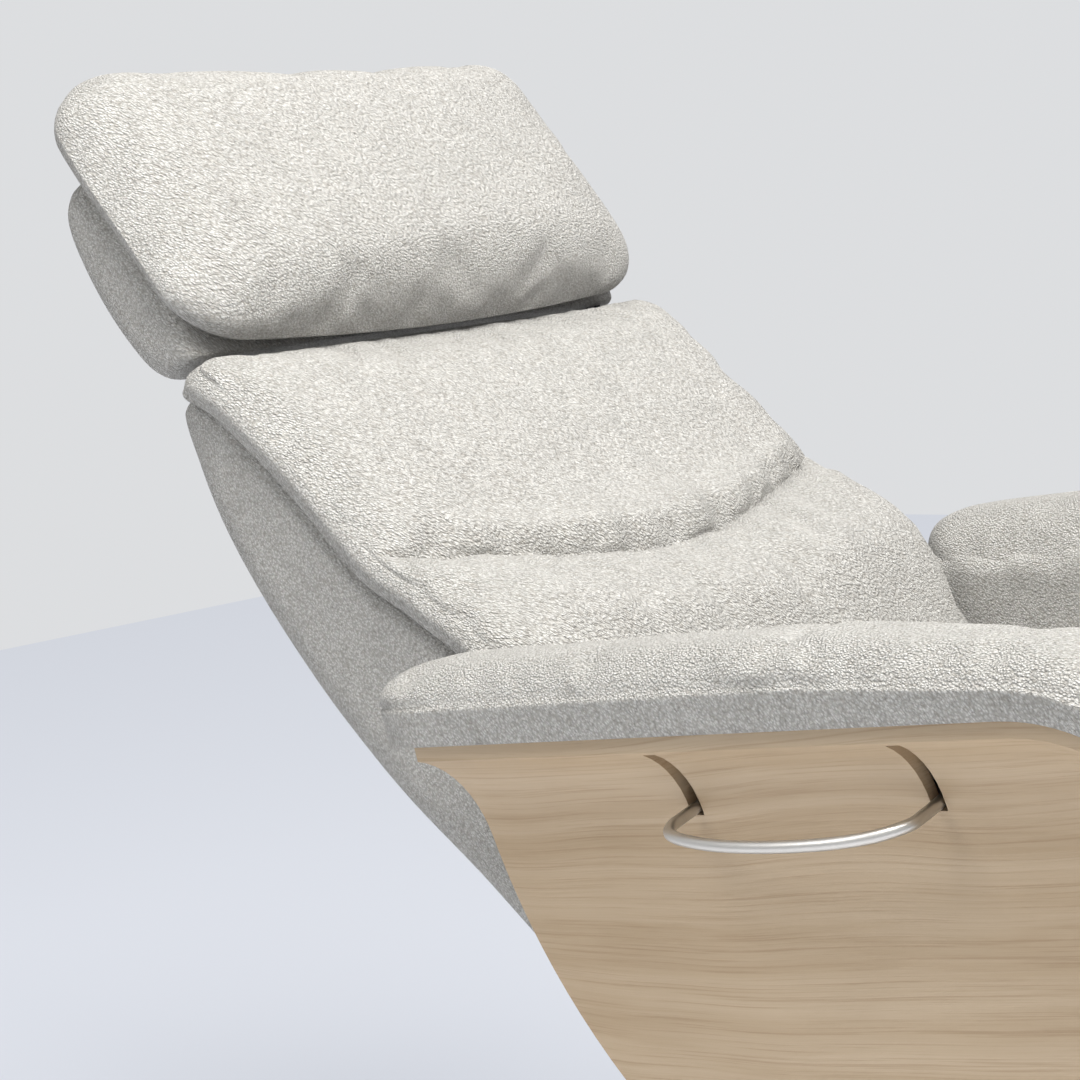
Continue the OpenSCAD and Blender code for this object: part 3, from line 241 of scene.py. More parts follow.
def oak():
    wood = Finish("pale_oak")
    where = wood.place()
    drift = wood.add("TexNoise", {"Vector": where, "Scale": 3.2, "Detail": 3.0}).outputs["Fac"]
    tilted = wood.add("Mapping", {"Vector": where, "Rotation": (grain_tilt, 0, 0)}).outputs[0]
    bowed = wood.add("TexNoise", {"Vector": where, "Scale": 4.0, "Detail": 1.0}).outputs["Color"]
    bowed = wood.add("VectorMath", {0: bowed, 1: (0, 0, grain_bow)}, operation="MULTIPLY").outputs[0]
    grain = wood.add("VectorMath", {0: tilted, 1: bowed}, operation="ADD").outputs[0]
    ring = wood.add("Mapping", {"Vector": grain, "Scale": (3.0, 1.1, 26.0)}).outputs[0]
    wave = wood.add("TexNoise", {"Vector": ring, "Scale": 1.4, "Detail": 9.0, "Roughness": 0.66,
                                 "Distortion": 0.6}).outputs["Fac"]
    fibre_at = wood.add("Mapping", {"Vector": grain, "Scale": (60.0, 6.5, 680.0)}).outputs[0]
    fibre = wood.add("TexNoise", {"Vector": fibre_at, "Scale": 1.0, "Detail": 6.0,
                                  "Roughness": 0.65}).outputs["Fac"]
    pores = wood.ramp(fibre, [(0.36, (0.0,)), (0.48, (1.0,))])
    tone = wood.maths("ADD", wood.maths("MULTIPLY", wave, 0.8), wood.maths("MULTIPLY", drift, 0.3))
    colour = wood.ramp(tone, [(0.38, (0.335, 0.230, 0.136)), (0.46, (0.43, 0.317, 0.198)),
                              (0.55, (0.475, 0.36, 0.235)), (0.66, (0.525, 0.41, 0.28))])
    pitted = wood.mix(pores, (0.62, 0.52, 0.42), (1.0, 1.0, 1.0))
    return wood.coat(wood.mix(pore_share, colour, pitted, "MULTIPLY"), 0.52, fibre, 0.0002)


surface("oak", oak())

# The cloth: a thick wool weave, its light and dark yarns spun together, so close up it reads as short
# slubs about 2 mm across in warm white and grey with painted shade between them, and from a step away as
# one pale warm grey.
cream, grey, taupe = (0.98, 0.97, 0.94), (0.90, 0.885, 0.855), (0.74, 0.71, 0.665)
slub_scale, slub_stretch, yarn_wander, cloth_relief = 780.0, 2.6, 0.0011, 0.0050
weave_turn = (0, math.radians(34.8), math.radians(-48.2))


def wool(name):
    cloth = Finish(name)
    where = cloth.place()
    lay = cloth.add("Mapping", {"Vector": where, "Rotation": weave_turn, "Scale": (slub_stretch, 1.0, 1.0)},
                    vector_type="TEXTURE").outputs[0]
    drift = cloth.add("TexNoise", {"Vector": where, "Scale": 210.0, "Detail": 1.0}).outputs["Color"]
    bend = cloth.add("VectorMath", {0: drift, 1: (yarn_wander,) * 3}, operation="MULTIPLY").outputs[0]
    laid = cloth.add("VectorMath", {0: lay, 1: bend}, operation="ADD").outputs[0]
    yarn = cloth.add("TexVoronoi", {"Vector": laid, "Scale": slub_scale, "Randomness": 1.0})
    fleck = cloth.add("SeparateColor", {"Color": yarn.outputs["Color"]})
    fine = cloth.add("TexNoise", {"Vector": laid, "Scale": 1300.0, "Detail": 3.0,
                                  "Roughness": 0.6}).outputs["Fac"]
    broad = cloth.add("TexNoise", {"Vector": where, "Scale": 42.0, "Detail": 4.0}).outputs["Fac"]
    colour = cloth.ramp(fleck.outputs[0], [(0.0, taupe), (0.28, grey), (0.8, cream)])
    shade = cloth.ramp(broad, [(0.3, (0.90, 0.90, 0.90)), (0.7, (1.0, 1.0, 1.0))])
    colour = cloth.mix(1.0, colour, shade, "MULTIPLY")
    # Painted shade: the colour darkens away from each slub's middle, in the hollows of the bump between the
    # yarns, where the weave would shade itself.
    yarn_gap_shade = cloth.ramp(yarn.outputs["Distance"], [(0.22, (1.0, 1.0, 1.0)), (0.62, (0.66, 0.65, 0.63))])
    colour = cloth.mix(1.0, colour, yarn_gap_shade, "MULTIPLY")
    hump = cloth.maths("SUBTRACT", 1.0, yarn.outputs["Distance"])
    height = cloth.maths("ADD", cloth.maths("MULTIPLY", hump, 0.8), cloth.maths("MULTIPLY", fine, 0.7))
    height = cloth.maths("ADD", height, cloth.maths("MULTIPLY", fleck.outputs[1], 0.35))
    return cloth.coat(colour, 0.95, height, cloth_relief, sheen=0.1)


upholstery = wool("melange_wool")
surface("upholstery", upholstery)

# The seat's cushion: a boxed foam block in wool over the straps, crowned towards the middle. Like every
# cushion here, its cover is a front and a rear panel sewn to a narrow boxed side: one sheet of squares
# whose rows the seams follow, swelled by its padding between the seams that hold it.
seat_half, seat_front, seat_rear, seat_low, seat_thick = 0.254, 0.310, 0.150, 0.3265, 0.110
seat_crown, seat_fall, seat_slope, seat_ease = 0.014, 0.010, 0.005, 0.003
seat_length = seat_front + seat_rear


def rounded(a, b, half, length, corner):
    """A square's point (a, b) from -1 to 1, moved into a rounded rectangle, in metres."""
    x, y = a * half, b * length / 2
    dx, dy = (abs(x) - half + corner) / corner, (abs(y) - length / 2 + corner) / corner
    if dx > 0 and dy > 0:
        x = math.copysign(half - corner + corner * dx * math.sqrt(1 - dy * dy / 2), x)
        y = math.copysign(length / 2 - corner + corner * dy * math.sqrt(1 - dx * dx / 2), y)
    return x, y


def stations(span, step, seams=()):
    """Lines across a panel from -1 to 1, closer together at its edges and beside each seam."""
    close = [0.0, 0.002, 0.005, 0.0095, 0.015]
    marks = {span - d for d in close} | {d - span for d in close}
    for seam in seams:
        marks |= {seam * span + s * d for d in close for s in (-1, 1)}
    fixed = sorted(marks)
    lines = [fixed[0]]
    for a, b in zip(fixed, fixed[1:]):
        parts = max(1, round((b - a) / step)) if b - a > 1.5 * step else 1
        lines += [a + (b - a) * k / parts for k in range(1, parts + 1)]
    return [line / span for line in lines]


def outward_at(x, up, half, length, corner):
    """Direction out of a rounded rectangle's edge at (x, up)."""
    dx, dy = max(abs(x) - half + corner, 0), max(abs(up) - length / 2 + corner, 0)
    far = math.hypot(dx, dy) or 1.0
    return math.copysign(dx / far, x), math.copysign(dy / far, up)


def rounding(s, reach, drop):
    """How far a rounded edge has dropped back at a distance s inside it: a quarter of an ellipse."""
    return drop * (1 - math.sqrt(1 - max(1 - s / reach, 0) ** 2))


def turn_out(piece, sewn=()):
    """Turns all faces outward, and keeps a sharp crease between vertices that are sewn."""
    bm = bmesh.new()
    bm.from_mesh(piece.data)
    bmesh.ops.recalc_face_normals(bm, faces=bm.faces)
    sharp = bm.edges.layers.float.new("crease_edge")
    for stitch in bm.edges:
        if all(vertex.index in sewn for vertex in stitch.verts):
            stitch[sharp] = 1.0
    bm.to_mesh(piece.data)
    bm.free()


def cushion(name, place, half, length, corner, step, front, rear, edges, swell, seams=(), tuck=0.0,
            valley=0.0, plain_from=-2.0):
    """A sewn cover. place(x, up, d) puts a point of its flat plan, at a depth d, in the frame; front(a, b)
    and rear(a, b) give the panels' depths. edges are, for the front and the rear, the reach of the
    rounding and its drop as a share of the boxing. The boxing swells, tucks in towards the rear, and
    meets the front in a valley, except on the side where a is below plain_from."""
    columns, rows = stations(half, step), stations(length / 2, step, seams)
    boxing = [0.0, 0.06, 0.15, 0.28, 0.44, 0.6, 0.75, 0.87, 0.95, 1.0]
    points, faces, index = [], [], {}

    def rim_height(b):
        return rear(1, b) - front(1, b)

    def inside(x, up):
        dx, dy = abs(x) - half + corner, abs(up) - length / 2 + corner
        return corner - math.hypot(max(dx, 0), max(dy, 0)) - min(max(dx, dy), 0)

    def add(key, a, b, depth, out=None):
        x, up = rounded(a, b, half, length, corner)
        if out is not None:
            nx, ny = outward_at(x, up, half, length, corner)
            x, up = x + nx * out, up + ny * out
        index[key] = len(points)
        points.append(place(x, up, depth))

    rim = ([(i, 0) for i in range(len(columns) - 1)] + [(len(columns) - 1, j) for j in range(len(rows) - 1)]
           + [(i, len(rows) - 1) for i in range(len(columns) - 1, 0, -1)]
           + [(0, j) for j in range(len(rows) - 1, 0, -1)])
    edge = set(rim)
    for j, b in enumerate(rows):
        for i, a in enumerate(columns):
            s = max(inside(*rounded(a, b, half, length, corner)), 0)
            add(("front", i, j), a, b, front(a, b) + rounding(s, *edges[0]) * rim_height(b),
                -valley if (i, j) in edge and a > plain_from else None)
            add(("rear", i, j), a * (1 - tuck / half) if a > plain_from else a, b * (1 - 2 * tuck / length),
                rear(a, b) - rounding(s, *edges[1]) * rim_height(b))
    for panel in ("front", "rear"):
        for j in range(len(rows) - 1):
            for i in range(len(columns) - 1):
                faces.append([index[(panel, i + p, j + q)] for p, q in ((0, 0), (1, 0), (1, 1), (0, 1))])
    for i, j in rim:
        a, b = columns[i], rows[j]
        top, low = front(a, b) + edges[0][1] * rim_height(b), rear(a, b) - edges[1][1] * rim_height(b)
        for k, share in enumerate(boxing[1:-1]):
            out = (swell * math.sin(math.pi * share) ** 2 - tuck * share) * (a > plain_from)
            add(("side", i, j, k), a, b, top + (low - top) * share, out)
    sides = range(len(boxing) - 2)
    for n, (i, j) in enumerate(rim):
        after = rim[(n + 1) % len(rim)]
        ladder = [[index[("front", *at)]] + [index[("side", *at, k)] for k in sides]
                  + [index[("rear", *at)]] for at in ((i, j), after)]
        for k in range(len(boxing) - 1):
            faces.append([ladder[0][k + 1], ladder[1][k + 1], ladder[1][k], ladder[0][k]])
    sewn = set() if valley == 0 else {index[("front", i, j)] for i, j in edge if columns[i] > plain_from}
    sewn |= {index[("front", i, j)] for j in range(len(rows)) if rows[j] in seams
             for i in range(len(columns))}
    piece = grid_mesh(name, points, faces)
    turn_out(piece, sewn)
    return piece, index, columns, rows


def stuff(piece, held, pressure, slack, cap):
    """Swells a sewn cover: cloth under pressure, its held vertices fixed and no point moved past cap."""
    frames = 20
    group = piece.vertex_groups.new(name="held")
    for vertex in held:
        group.add([vertex], 1.0, "REPLACE")
    cloth = piece.modifiers.new("stuffing", "CLOTH")
    settings = cloth.settings
    settings.quality = 6
    settings.mass = 0.35
    settings.tension_stiffness = settings.compression_stiffness = 18
    settings.shear_stiffness = 8
    settings.bending_stiffness = 2.0
    settings.shrink_min = -slack
    settings.use_pressure = True
    settings.uniform_pressure_force = pressure
    settings.vertex_group_mass = "held"
    settings.effector_weights.gravity = 0
    cloth.collision_settings.use_collision = False
    cloth.point_cache.frame_start, cloth.point_cache.frame_end = 1, frames
    for step in range(1, frames + 1):
        scene.frame_set(step)
    shape = piece.evaluated_get(bpy.context.evaluated_depsgraph_get()).to_mesh()
    before = np.array([v.co for v in piece.data.vertices])
    after = np.array([v.co for v in shape.vertices])
    piece.evaluated_get(bpy.context.evaluated_depsgraph_get()).to_mesh_clear()
    piece.modifiers.remove(cloth)
    piece.vertex_groups.clear()
    moved = after - before
    far = np.linalg.norm(moved, axis=1, keepdims=True)
    moved *= np.minimum(1, cap / np.maximum(far, 1e-9))
    piece.data.vertices.foreach_set("co", (before + moved).astype(np.float32).ravel())
    piece.data.update()
    scene.frame_set(1)


def pinned(index, columns, rows, seam=None):
    """Vertices that stitching or the shell behind holds in place: the rear panel, the rim and a seam."""
    held = []
    for (panel, i, j, *_), vertex in index.items():
        on_rim = i in (0, len(columns) - 1) or j in (0, len(rows) - 1)
        if panel != "front" or on_rim or rows[j] == seam:
            held.append(vertex)
    return held


def dress(piece, body, *replaced, fill=None):
    """Finish of a fabric piece: smoothing, its cloth, and what it rides on and stands for."""
    soften = piece.modifiers.new("smooth", "SUBSURF")
    soften.levels = soften.render_levels = 1
    piece.data.materials.append(upholstery)
    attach(piece, body)
    if replaced:
        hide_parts(*replaced)


def seat_place(x, up, d):
    return x, seat_rear - (up + seat_length / 2), seat_low + seat_thick - d


def seat_top(a, b):
    dome = (1 - abs(a) ** 6) * (1 - abs(b) ** 8)
    return seat_fall * (1 - dome) - seat_crown * dome - seat_slope * (b + 1) * dome


seat_pad, seat_index, seat_columns, seat_rows = cushion(
    "seat_pad", seat_place, seat_half - seat_ease, seat_length - 2 * seat_ease, corner=0.028, step=0.010,
    front=seat_top, rear=lambda a, b: seat_thick, edges=((0.03, 0.11), (0.008, 0.04)), swell=0.003,
    valley=0.001)
stuff(seat_pad, pinned(seat_index, seat_columns, seat_rows), pressure=4, slack=0.02, cap=0.006)
dress(seat_pad, "seat_body", "seat_cushion", fill=0.7)

# The inner sides and the front apron: soft boards wrapped in the same cloth, their edges rounded by the
# wadding under it. The inner sides' tops run on up into the arm pads, so no gap shows between them.
# The shells' top edge, which they follow, slopes up straight from arm_rear to the round nose.
arm_rear, arm_rise, arm_len = (0.222, 0.549), math.radians(6.6), 0.410
arm_up = np.array([math.sin(arm_rise), math.cos(arm_rise)])
arm_back = np.array([math.cos(arm_rise), -math.sin(arm_rise)])
nose_start = np.array(arm_rear) - arm_len * arm_back
tuck_run, tuck_rise, tuck_in = 0.02, 0.022, 0.002


def wrapped(node, name, cell, swell, rise=lambda place: (0, 0, 0)):
    """The wrapped cover of a board: its solid in even squares, eased at the edges and swelled."""
    cover = bpy.data.objects.new(name, nodes[node].data.copy())
    bpy.context.collection.objects.link(cover)
    cover.data.materials.clear()
    remesh = cover.modifiers.new("even", "REMESH")
    remesh.mode, remesh.voxel_size = "VOXEL", cell
    ease = cover.modifiers.new("ease", "SMOOTH")
    ease.factor, ease.iterations = 0.5, 4
    even = bpy.data.meshes.new_from_object(cover.evaluated_get(bpy.context.evaluated_depsgraph_get()))
    cover.modifiers.clear()
    cover.data = even
    even.polygons.foreach_set("use_smooth", [True] * len(even.polygons))
    even.materials.clear()
    for vertex in even.vertices:
        vertex.co += Vector(rise(vertex.co))
    stuff(cover, [], pressure=2.5, slack=0.02, cap=swell)
    dress(cover, "seat_body", node, fill=0.8)


def under_pad(place):
    """How far a point of an inner side moves inward and up into the pad, fading below its top edge."""
    lip = nose_start[1] - max(place[1] - nose_start[0], 0) * arm_back[1] / -arm_back[0]
    near = min(max(1 - (lip - place[2]) / tuck_run, 0), 1)
    inward = -math.copysign(tuck_in * near, place[0])
    return inward, arm_up[0] * tuck_rise * near, arm_up[1] * tuck_rise * near


for name in ("right", "left"):
    wrapped("side_lining_" + name, "inner_side_" + name, cell=0.006, swell=0.004, rise=under_pad)
wrapped("front_apron", "front_apron_cover", cell=0.005, swell=0.003)

# The arm pads: foam in wool along the top of each side shell, boxed at the sides and crowned, with a
# sewn seam along the outer edge and a rounded rear end that overhangs the shell.
pad_mid, pad_half, pad_boxing, pad_height, pad_front = 0.310, 0.048, 0.026, 0.045, 0.024
pad_overhang, pad_end, pad_taper, pad_lean = 0.038, math.radians(188), 0.120, 0.38
pad_gap, nose_r = 0.0006, 0.110
nose_centre = nose_start - nose_r * arm_up
nose_from = math.pi / 2 - arm_rise
straight = arm_len + pad_overhang
pad_length = straight + (pad_end - nose_from) * nose_r


def pad_base(s):
    """Point of the shell's top edge at a distance s from the pad's rear end, and the way out of it."""
    if s <= straight:
        return nose_start + (straight - s) * arm_back, arm_up
    turn = nose_from + (s - straight) / nose_r
    out = np.array([math.cos(turn), math.sin(turn)])
    return nose_centre + nose_r * out, out


def pad_full(s):
    """Height of the pad's crown, which thins round the nose."""
    taper = straight - pad_taper
    if s < taper:
        return pad_height
    turn = math.pi / 2 * (s - taper) / (pad_length - taper)
    return pad_height + (pad_front - pad_height) * math.sin(turn)


def arm_pad(name, side):
    def place(x, up, d):
        base, out = pad_base(up + pad_length / 2)
        y, z = base - out * d
        return side * (pad_mid + x), y, z

    def top(a, b):
        full = pad_full((b + 1) / 2 * pad_length)
        dome = (1 - abs(a) ** 4) * (1 - min(abs(b), 1) ** 26)
        seam = pad_boxing * full / pad_height * (1 - pad_lean + pad_lean * a)
        return -seam - (full - seam) * dome ** 0.62

    pad, index, columns, rows = cushion(
        name, place, pad_half, pad_length, corner=0.042, step=0.006, front=top,
        rear=lambda a, b: -pad_gap, edges=((0.007, 0.06), (0.004, 0.0)), swell=0.0, tuck=0.002,
        valley=0.002, plain_from=-0.9)
    stuff(pad, pinned(index, columns, rows), pressure=4, slack=0.02, cap=0.003)
    return pad


for side, name in ((-1, "right"), (1, "left")):
    dress(arm_pad("arm_rest_" + name, side), "seat_body", "arm_pad_" + name, fill=0.7)

# The arms' edge rolls: round wadding in the same cloth along the rim of each inner side, glued in to
# close the space between it and the oak, where the arm would look hollow from the front and behind.
roll_x, roll_r, roll_step = 0.2835, 0.0132, 0.012


def rim_of(mesh):
    """The outline of a flat board's outer face, as (y, z) points in order round it."""
    bm = bmesh.new()
    bm.from_mesh(mesh)
    bmesh.ops.remove_doubles(bm, verts=bm.verts, dist=0.00001)
    outer = max(abs(v.co.x) for v in bm.verts) - 0.0001
    links = {}
    for e in bm.edges:
        flat = [abs(f.normal.x) > 0.9 for f in e.link_faces]
        if sorted(flat) == [False, True] and all(abs(v.co.x) > outer for v in e.verts):
            a, b = e.verts[0].index, e.verts[1].index
            links.setdefault(a, []).append(b)
            links.setdefault(b, []).append(a)
    bm.verts.ensure_lookup_table()
    start = min(links)
    order = [start, links[start][0]]
    while order[-1] != start:
        order.append(next(n for n in links[order[-1]] if n != order[-2]))
    line = np.array([(bm.verts[n].co.y, bm.verts[n].co.z) for n in order[:-1]])
    bm.free()
    return line


def tube(name, path, radius, sides=20):
    """A round bar swept along points, closed at both ends."""
    path = [Vector(p) for p in path]
    points, faces = [], []
    normal = None
    for k, p in enumerate(path):
        tangent = (path[min(k + 1, len(path) - 1)] - path[max(k - 1, 0)]).normalized()
        if normal is None:
            normal = tangent.orthogonal().normalized()
        normal = (normal - tangent * normal.dot(tangent)).normalized()
        side = tangent.cross(normal)
        points += [p + (normal * math.cos(t) + side * math.sin(t)) * radius
                   for t in np.linspace(0, math.tau, sides, endpoint=False)]
    for k in range(len(path) - 1):
        faces += [(k * sides + i, k * sides + (i + 1) % sides, (k + 1) * sides + (i + 1) % sides,
                   (k + 1) * sides + i) for i in range(sides)]
    last = (len(path) - 1) * sides
    faces += [tuple(range(sides))[::-1], tuple(range(last, last + sides))]
    return grid_mesh(name, points, faces)


def roll_path(mesh):
    """Middle line of a roll: even steps just inside a board's rim, where no arm pad covers the rim."""
    rim = rim_of(mesh)
    ring = np.vstack([rim, rim[:1]])
    lengths = np.r_[0, np.cumsum(np.linalg.norm(np.diff(ring, axis=0), axis=1))]
    at = np.arange(0, lengths[-1], roll_step)
    line = np.column_stack([np.interp(at, lengths, ring[:, k]) for k in (0, 1)])
    tangent = np.roll(line, -1, axis=0) - np.roll(line, 1, axis=0)
    tangent /= np.linalg.norm(tangent, axis=1, keepdims=True)
    turn = np.sum(line[:, 0] * np.roll(line[:, 1], -1) - line[:, 1] * np.roll(line[:, 0], -1))
    inward = np.column_stack([-tangent[:, 1], tangent[:, 0]]) * math.copysign(1, turn)
    line = line + inward * roll_r
    under = np.array([pad_base(s)[0] for s in np.linspace(0, pad_length, 120)])
    bare = [np.min(np.linalg.norm(under - p, axis=1)) > roll_r for p in line]
    first = next(k for k in range(len(line)) if bare[k] and not bare[k - 1])
    run = [(first + k) % len(line) for k in range(len(line))]
    return line[run[:next(k for k, n in enumerate(run) if not bare[n])]]


for side, name in ((-1, "right"), (1, "left")):
    path = roll_path(nodes["side_lining_" + name].data)
    edge_roll = tube("arm_edge_roll_" + name, [(side * roll_x, y, z) for y, z in path], roll_r, sides=14)
    dress(edge_roll, "seat_body", fill=0.9)

# The back's rear shell: a moulded shell under the same cloth, rounded at its rear corners and thin at
# its ends. The back's cushion lies in its front edge.
# The lines that back and headrest follow are lists of (y, z) in millimetres, from their lower end up.
back_front = [[178, 430], [182, 462], [199, 507], [241, 584], [300, 624], [344, 648],
              [400, 700], [450, 743], [497, 781]]
back_rear = [[206, 360], [240, 382], [292, 425], [352, 469], [397, 510], [432, 546],
             [481, 606], [519, 668], [544, 743]]
back_half, back_thick, shell_inset, shell_gap = 0.248, 0.027, 0.003, 0.0005


def along(profile, share):
    """Point of the smooth curve through a profile, where share runs from 0 at its first point to 1."""
    points = np.asarray(profile, float) / 1000
    points = np.vstack([2 * points[0] - points[1], points, 2 * points[-1] - points[-2]])
    count = len(points) - 3
    step = min(int(max(share, 0) * count), count - 1)
    t = share * count - step
    a, b, c, d = points[step:step + 4]
    square, cube = (2 * a - 5 * b + 4 * c - d) * t ** 2, (3 * b - a - 3 * c + d) * t ** 3
    return 0.5 * (2 * b + (c - a) * t + square + cube)


def shell(name, front, rear, half, shares, inset, start, corner, rim):
    """Closed shell swept up a pair of profiles, with rounded rear corners of the given radius."""
    rings = []
    for share in shares:
        line, end = along(front, share), along(rear, share)
        full = float(np.linalg.norm(end - line))
        direction = (end - line) / full
        pull = inset(share)
        near, far, wide = start(share), full - pull, half - pull
        radius = min(corner, (far - near) * 0.6)
        side = [(wide - rim, near), (wide - rim * 0.6, near + rim * 0.1),
                (wide - rim * 0.2, near + rim * 0.5), (wide, near + rim)]
        side += [(wide, near + rim + (far - radius - near - rim) * k / 4) for k in (1, 2, 3)]
        side += [(wide - radius * (1 - math.cos(t)), far - radius * (1 - math.sin(t)))
                 for t in np.linspace(0, math.pi / 2, 7)]
        bulge = [((wide - radius) * k / 5, far) for k in (4, 3, 2, 1, 0)]
        loop = side + bulge + [(-x, d) for x, d in reversed(side + bulge[:-1])]
        rings.append([(x, *(line + direction * d)) for x, d in loop])
    count = len(rings[0])
    points = [p for ring in rings for p in ring]
    faces = [(k * count + i, k * count + (i + 1) % count, (k + 1) * count + (i + 1) % count,
              (k + 1) * count + i) for k in range(len(rings) - 1) for i in range(count)]
    faces += [tuple(range(count))[::-1], tuple(range((len(rings) - 1) * count, len(rings) * count))]
    piece = grid_mesh(name, points, faces)
    turn_out(piece)
    return piece


def fading(stops):
    """Millimetres that a shell's end draws in, between stops of (share, millimetres)."""
    return lambda share: float(np.interp(share, [s[0] for s in stops], [s[1] / 1000 for s in stops]))


back_shell = shell(
    "back_rear_shell", back_front, back_rear, back_half - shell_inset,
    [0, 0.004, 0.012, 0.03] + [0.05 * k for k in range(1, 19)] + [0.93, 0.96, 0.98, 0.99],
    fading([(0, 14), (0.01, 6), (0.03, 1.5), (0.06, 0), (0.93, 0), (0.96, 1), (0.98, 3), (0.99, 6)]),
    lambda share: back_thick + shell_gap, corner=0.034, rim=0.010)
dress(back_shell, "backrest", "back_shell")

# The back's cushion: a thin boxed pad from the seat to under the headrest, its cover divided by a
# lumbar seam that dips at the middle, and gathered a little where the two panels meet.
back_from, back_length, back_crown, back_flare = 0.1, 0.52, 0.014, 0.034
seam_share, seam_dip, seam_depth, curve_length = 0.62, 0.090, 0.014, 0.56
crease_half, roll_above, roll_below, fold_depth, fold_reach = 0.0035, 0.017, 0.034, 0.0075, 0.105
lip_from, lip_run, lip_depth = 0.82, 0.18, 0.009
seam_row = 2 * (seam_share - back_from) / (1 - back_from) - 1


def between(front, rear, share, depth):
    """Point at a depth behind the front line, towards the rear line, as (y, z) in metres."""
    start, end = along(front, share), along(rear, share)
    return start + (end - start) / np.linalg.norm(end - start) * depth


def back_place(x, up, d):
    share = back_from + (1 - back_from) * (up / back_length + 0.5)
    a = min(abs(x) / back_half, 1)
    sag = 0
    if back_from < share < 1:
        rise = math.sin(math.pi * (share - back_from) / (1 - back_from))
        sag = -seam_dip / curve_length * (1 - a * a) * rise
    y, z = between(back_front, back_rear, share + sag, d)
    return x * (1 + back_flare * min(max(4 * share - 3, 0), 1) ** 2), y, z


def gathers(x, up, near):
    """Shallow folds across a seam, fading away from it: x and up in metres, near the fade's length."""
    fold = noise.noise(Vector((x * 26, up * 3.2, 3.7))) + 0.5 * noise.noise(Vector((x * 48, up * 6, 8.1)))
    return fold * math.exp(-(up / near) ** 2)


def back_front_depth(a, b):
    """The pad's crown, drawn in at the seam by a tight crease within a soft roll."""
    dome = (1 - abs(a) ** 6) * (1 - abs(b) ** 10)
    away = (b - seam_row) * back_length / 2
    reach = 1 - abs(a) ** 12
    crease = math.exp(-abs(away) / crease_half)
    roll = math.exp(-(away / (roll_above if away > 0 else roll_below)) ** 2)
    folds = fold_depth * gathers(a * back_half, away, fold_reach) * (1 - a ** 4)
    return -back_crown * dome ** 0.7 + seam_depth * (crease * 0.6 + roll * 0.4) * reach + folds


def back_rear_depth(a, b):
    """The pad's rear, which thickens into a lip over the shell's top edge."""
    top = min(max((b - lip_from) / lip_run, 0), 1)
    return back_thick + lip_depth * top * top * (3 - 2 * top)


back_pad, back_index, back_columns, back_rows = cushion(
    "back_pad", back_place, back_half, back_length, corner=0.022, step=0.0075, front=back_front_depth,
    rear=back_rear_depth, edges=((0.012, 0.16), (0.008, 0.12)), swell=0.003, seams=(seam_row,),
    valley=0.002)
stuff(back_pad, pinned(back_index, back_columns, back_rows, seam_row), pressure=4, slack=0.024, cap=0.006)
dress(back_pad, "backrest", "back_cushion", fill=0.6)

# The headrest's rear shell: moulded and covered as the back's is, shorter than the pillow that lies in
# its front edge, and set back a little at its lower end, where the arms of the headrest come out.
head_front = [[476, 797], [508, 838], [545, 885], [580, 930], [610, 977]]
head_rear = [[562, 758], [596, 789], [624, 824], [646, 866], [657, 914]]
head_thick = [[34, 0], [35, 0], [38, 0], [44, 0], [54, 0]]
head_shell_half, set_back = 0.240, 0.006


def head_depth(b):
    """The pillow's thickness at its plan's height b from -1 to 1, which the shell lies behind."""
    return along(head_thick, min(max((b + 1) / 2, 0), 1))[0]


head_shell = shell(
    "headrest_rear_shell", head_front, head_rear, head_shell_half,
    [0.0, 0.006, 0.02, 0.05, 0.1] + [0.1 + 0.08 * k for k in range(1, 9)]
    + [0.78, 0.81, 0.835, 0.85, 0.86],
    fading([(0, 10), (0.02, 4), (0.08, 0), (0.76, 0), (0.81, 1), (0.835, 4), (0.85, 8), (0.86, 13)]),
    lambda share: head_depth(2 * share - 1) + shell_gap + set_back * max(1 - share / 0.3, 0),
    corner=0.024, rim=0.012)
dress(head_shell, "headrest", "head_shell")

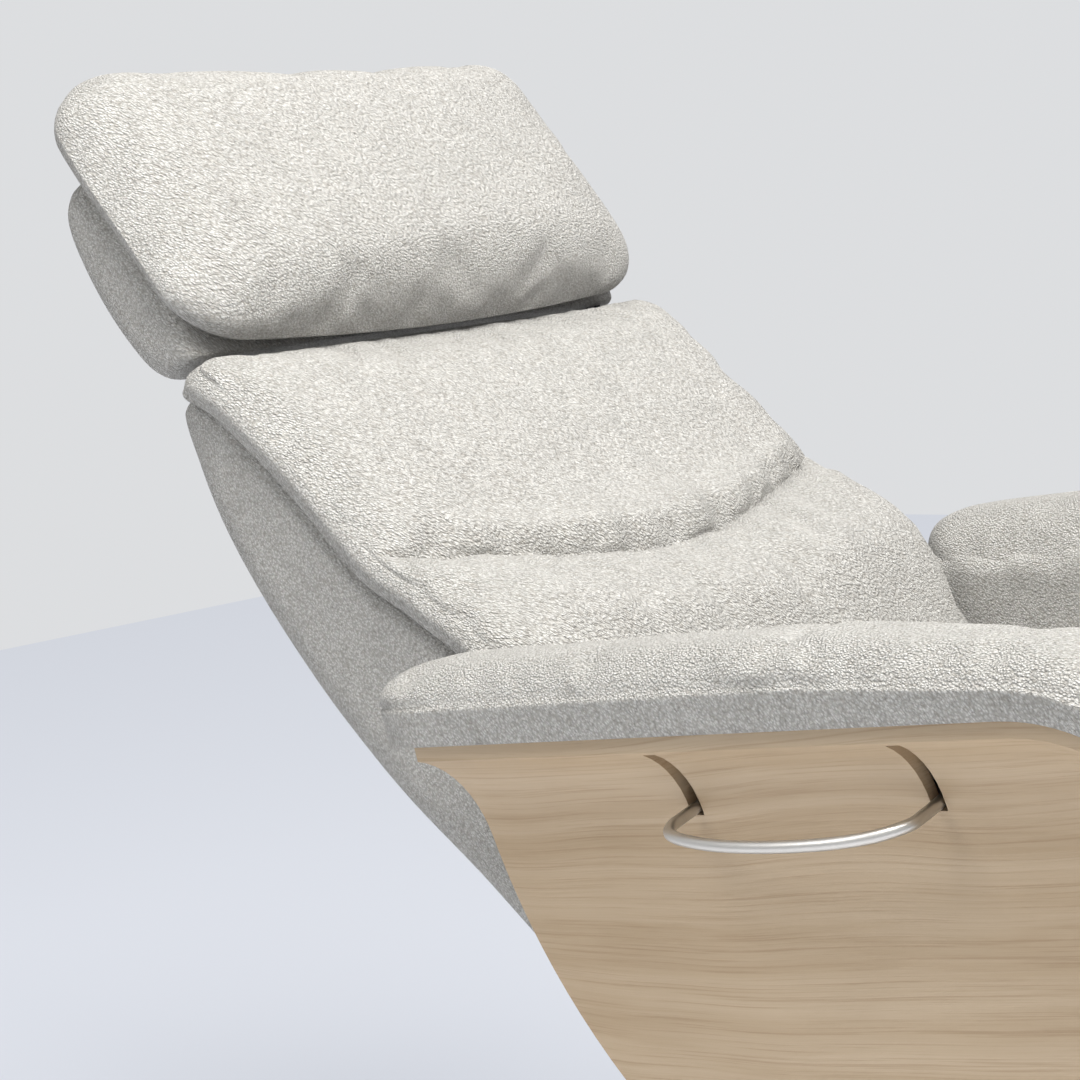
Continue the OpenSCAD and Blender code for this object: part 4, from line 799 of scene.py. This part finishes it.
# The headrest's pillow: deep at its top and thin at its lower edge, a soft crowned front over foam,
# its side panels turned in without piping. It lies on the headrest's shell.
head_half, head_span, head_length, head_rise, head_crown = 0.251, 0.224, 0.250, 0.020, 0.030
head_sag, top_dip = 0.017, 0.006


def head_place(x, up, d):
    b = up / (head_length / 2)
    middle = 1 - min(abs(x) / head_half, 1) ** 2
    up -= middle * (head_sag * min(max(1 - b, 0), 2) / 2 + top_dip * max(b, 0))
    y, z = between(head_front, head_rear, (up + head_rise) / head_span + 0.5, d)
    return x, y, z


def pillow_front(a, b):
    """The crown, which falls off sooner towards the top than towards the lower edge."""
    return -head_crown * ((1 - abs(a) ** 3) * (1 - abs(b) ** (2.6 if b > 0 else 4))) ** 0.9


pillow, head_index, head_columns, head_rows = cushion(
    "headrest_pillow", head_place, head_half, head_length, corner=0.054, step=0.0075, front=pillow_front,
    rear=lambda a, b: head_depth(b), edges=((0.050, 0.62), (0.020, 0.36)), swell=0.0)
stuff(pillow, pinned(head_index, head_columns, head_rows), pressure=4, slack=0.014, cap=0.007)
dress(pillow, "headrest", "headrest_cushion", fill=0.75)

# The release handle: one loop of 7 mm stainless wire, its ends in the hidden shaft. It leaves the shell
# through the slots and bows down and outward, so that fingers fit between the grip and the shell.
# Its points are (along the arm, out of the shell) in millimetres from the shaft's middle.
loop = [(81, -18), (81, 3), (81, 16), (80, 27), (71, 39), (50, 48), (21, 54), (-14, 55), (-45, 51),
        (-66, 43), (-79, 30), (-81, 18), (-81, 3), (-81, -18)]
shaft_at = Vector((-0.2895, -0.0384, 0.5318))
shell_face, droop, wire_r, bend_steps = 0.0175, math.radians(10), 0.0035, 120
outward = Vector((-math.cos(droop), -math.sin(droop) * arm_up[0], -math.sin(droop) * arm_up[1]))
back_along = Vector((0, *arm_back))
bends = [along(loop, k / bend_steps) for k in range(bend_steps + 1)]
bail = tube("release_handle", [shaft_at + back_along * s + outward * (w + shell_face) for s, w in bends],
            wire_r)
bail.data.materials.append(bright)
surface("handle_steel", bright)
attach(bail, "handle")
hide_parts("handle_bail")
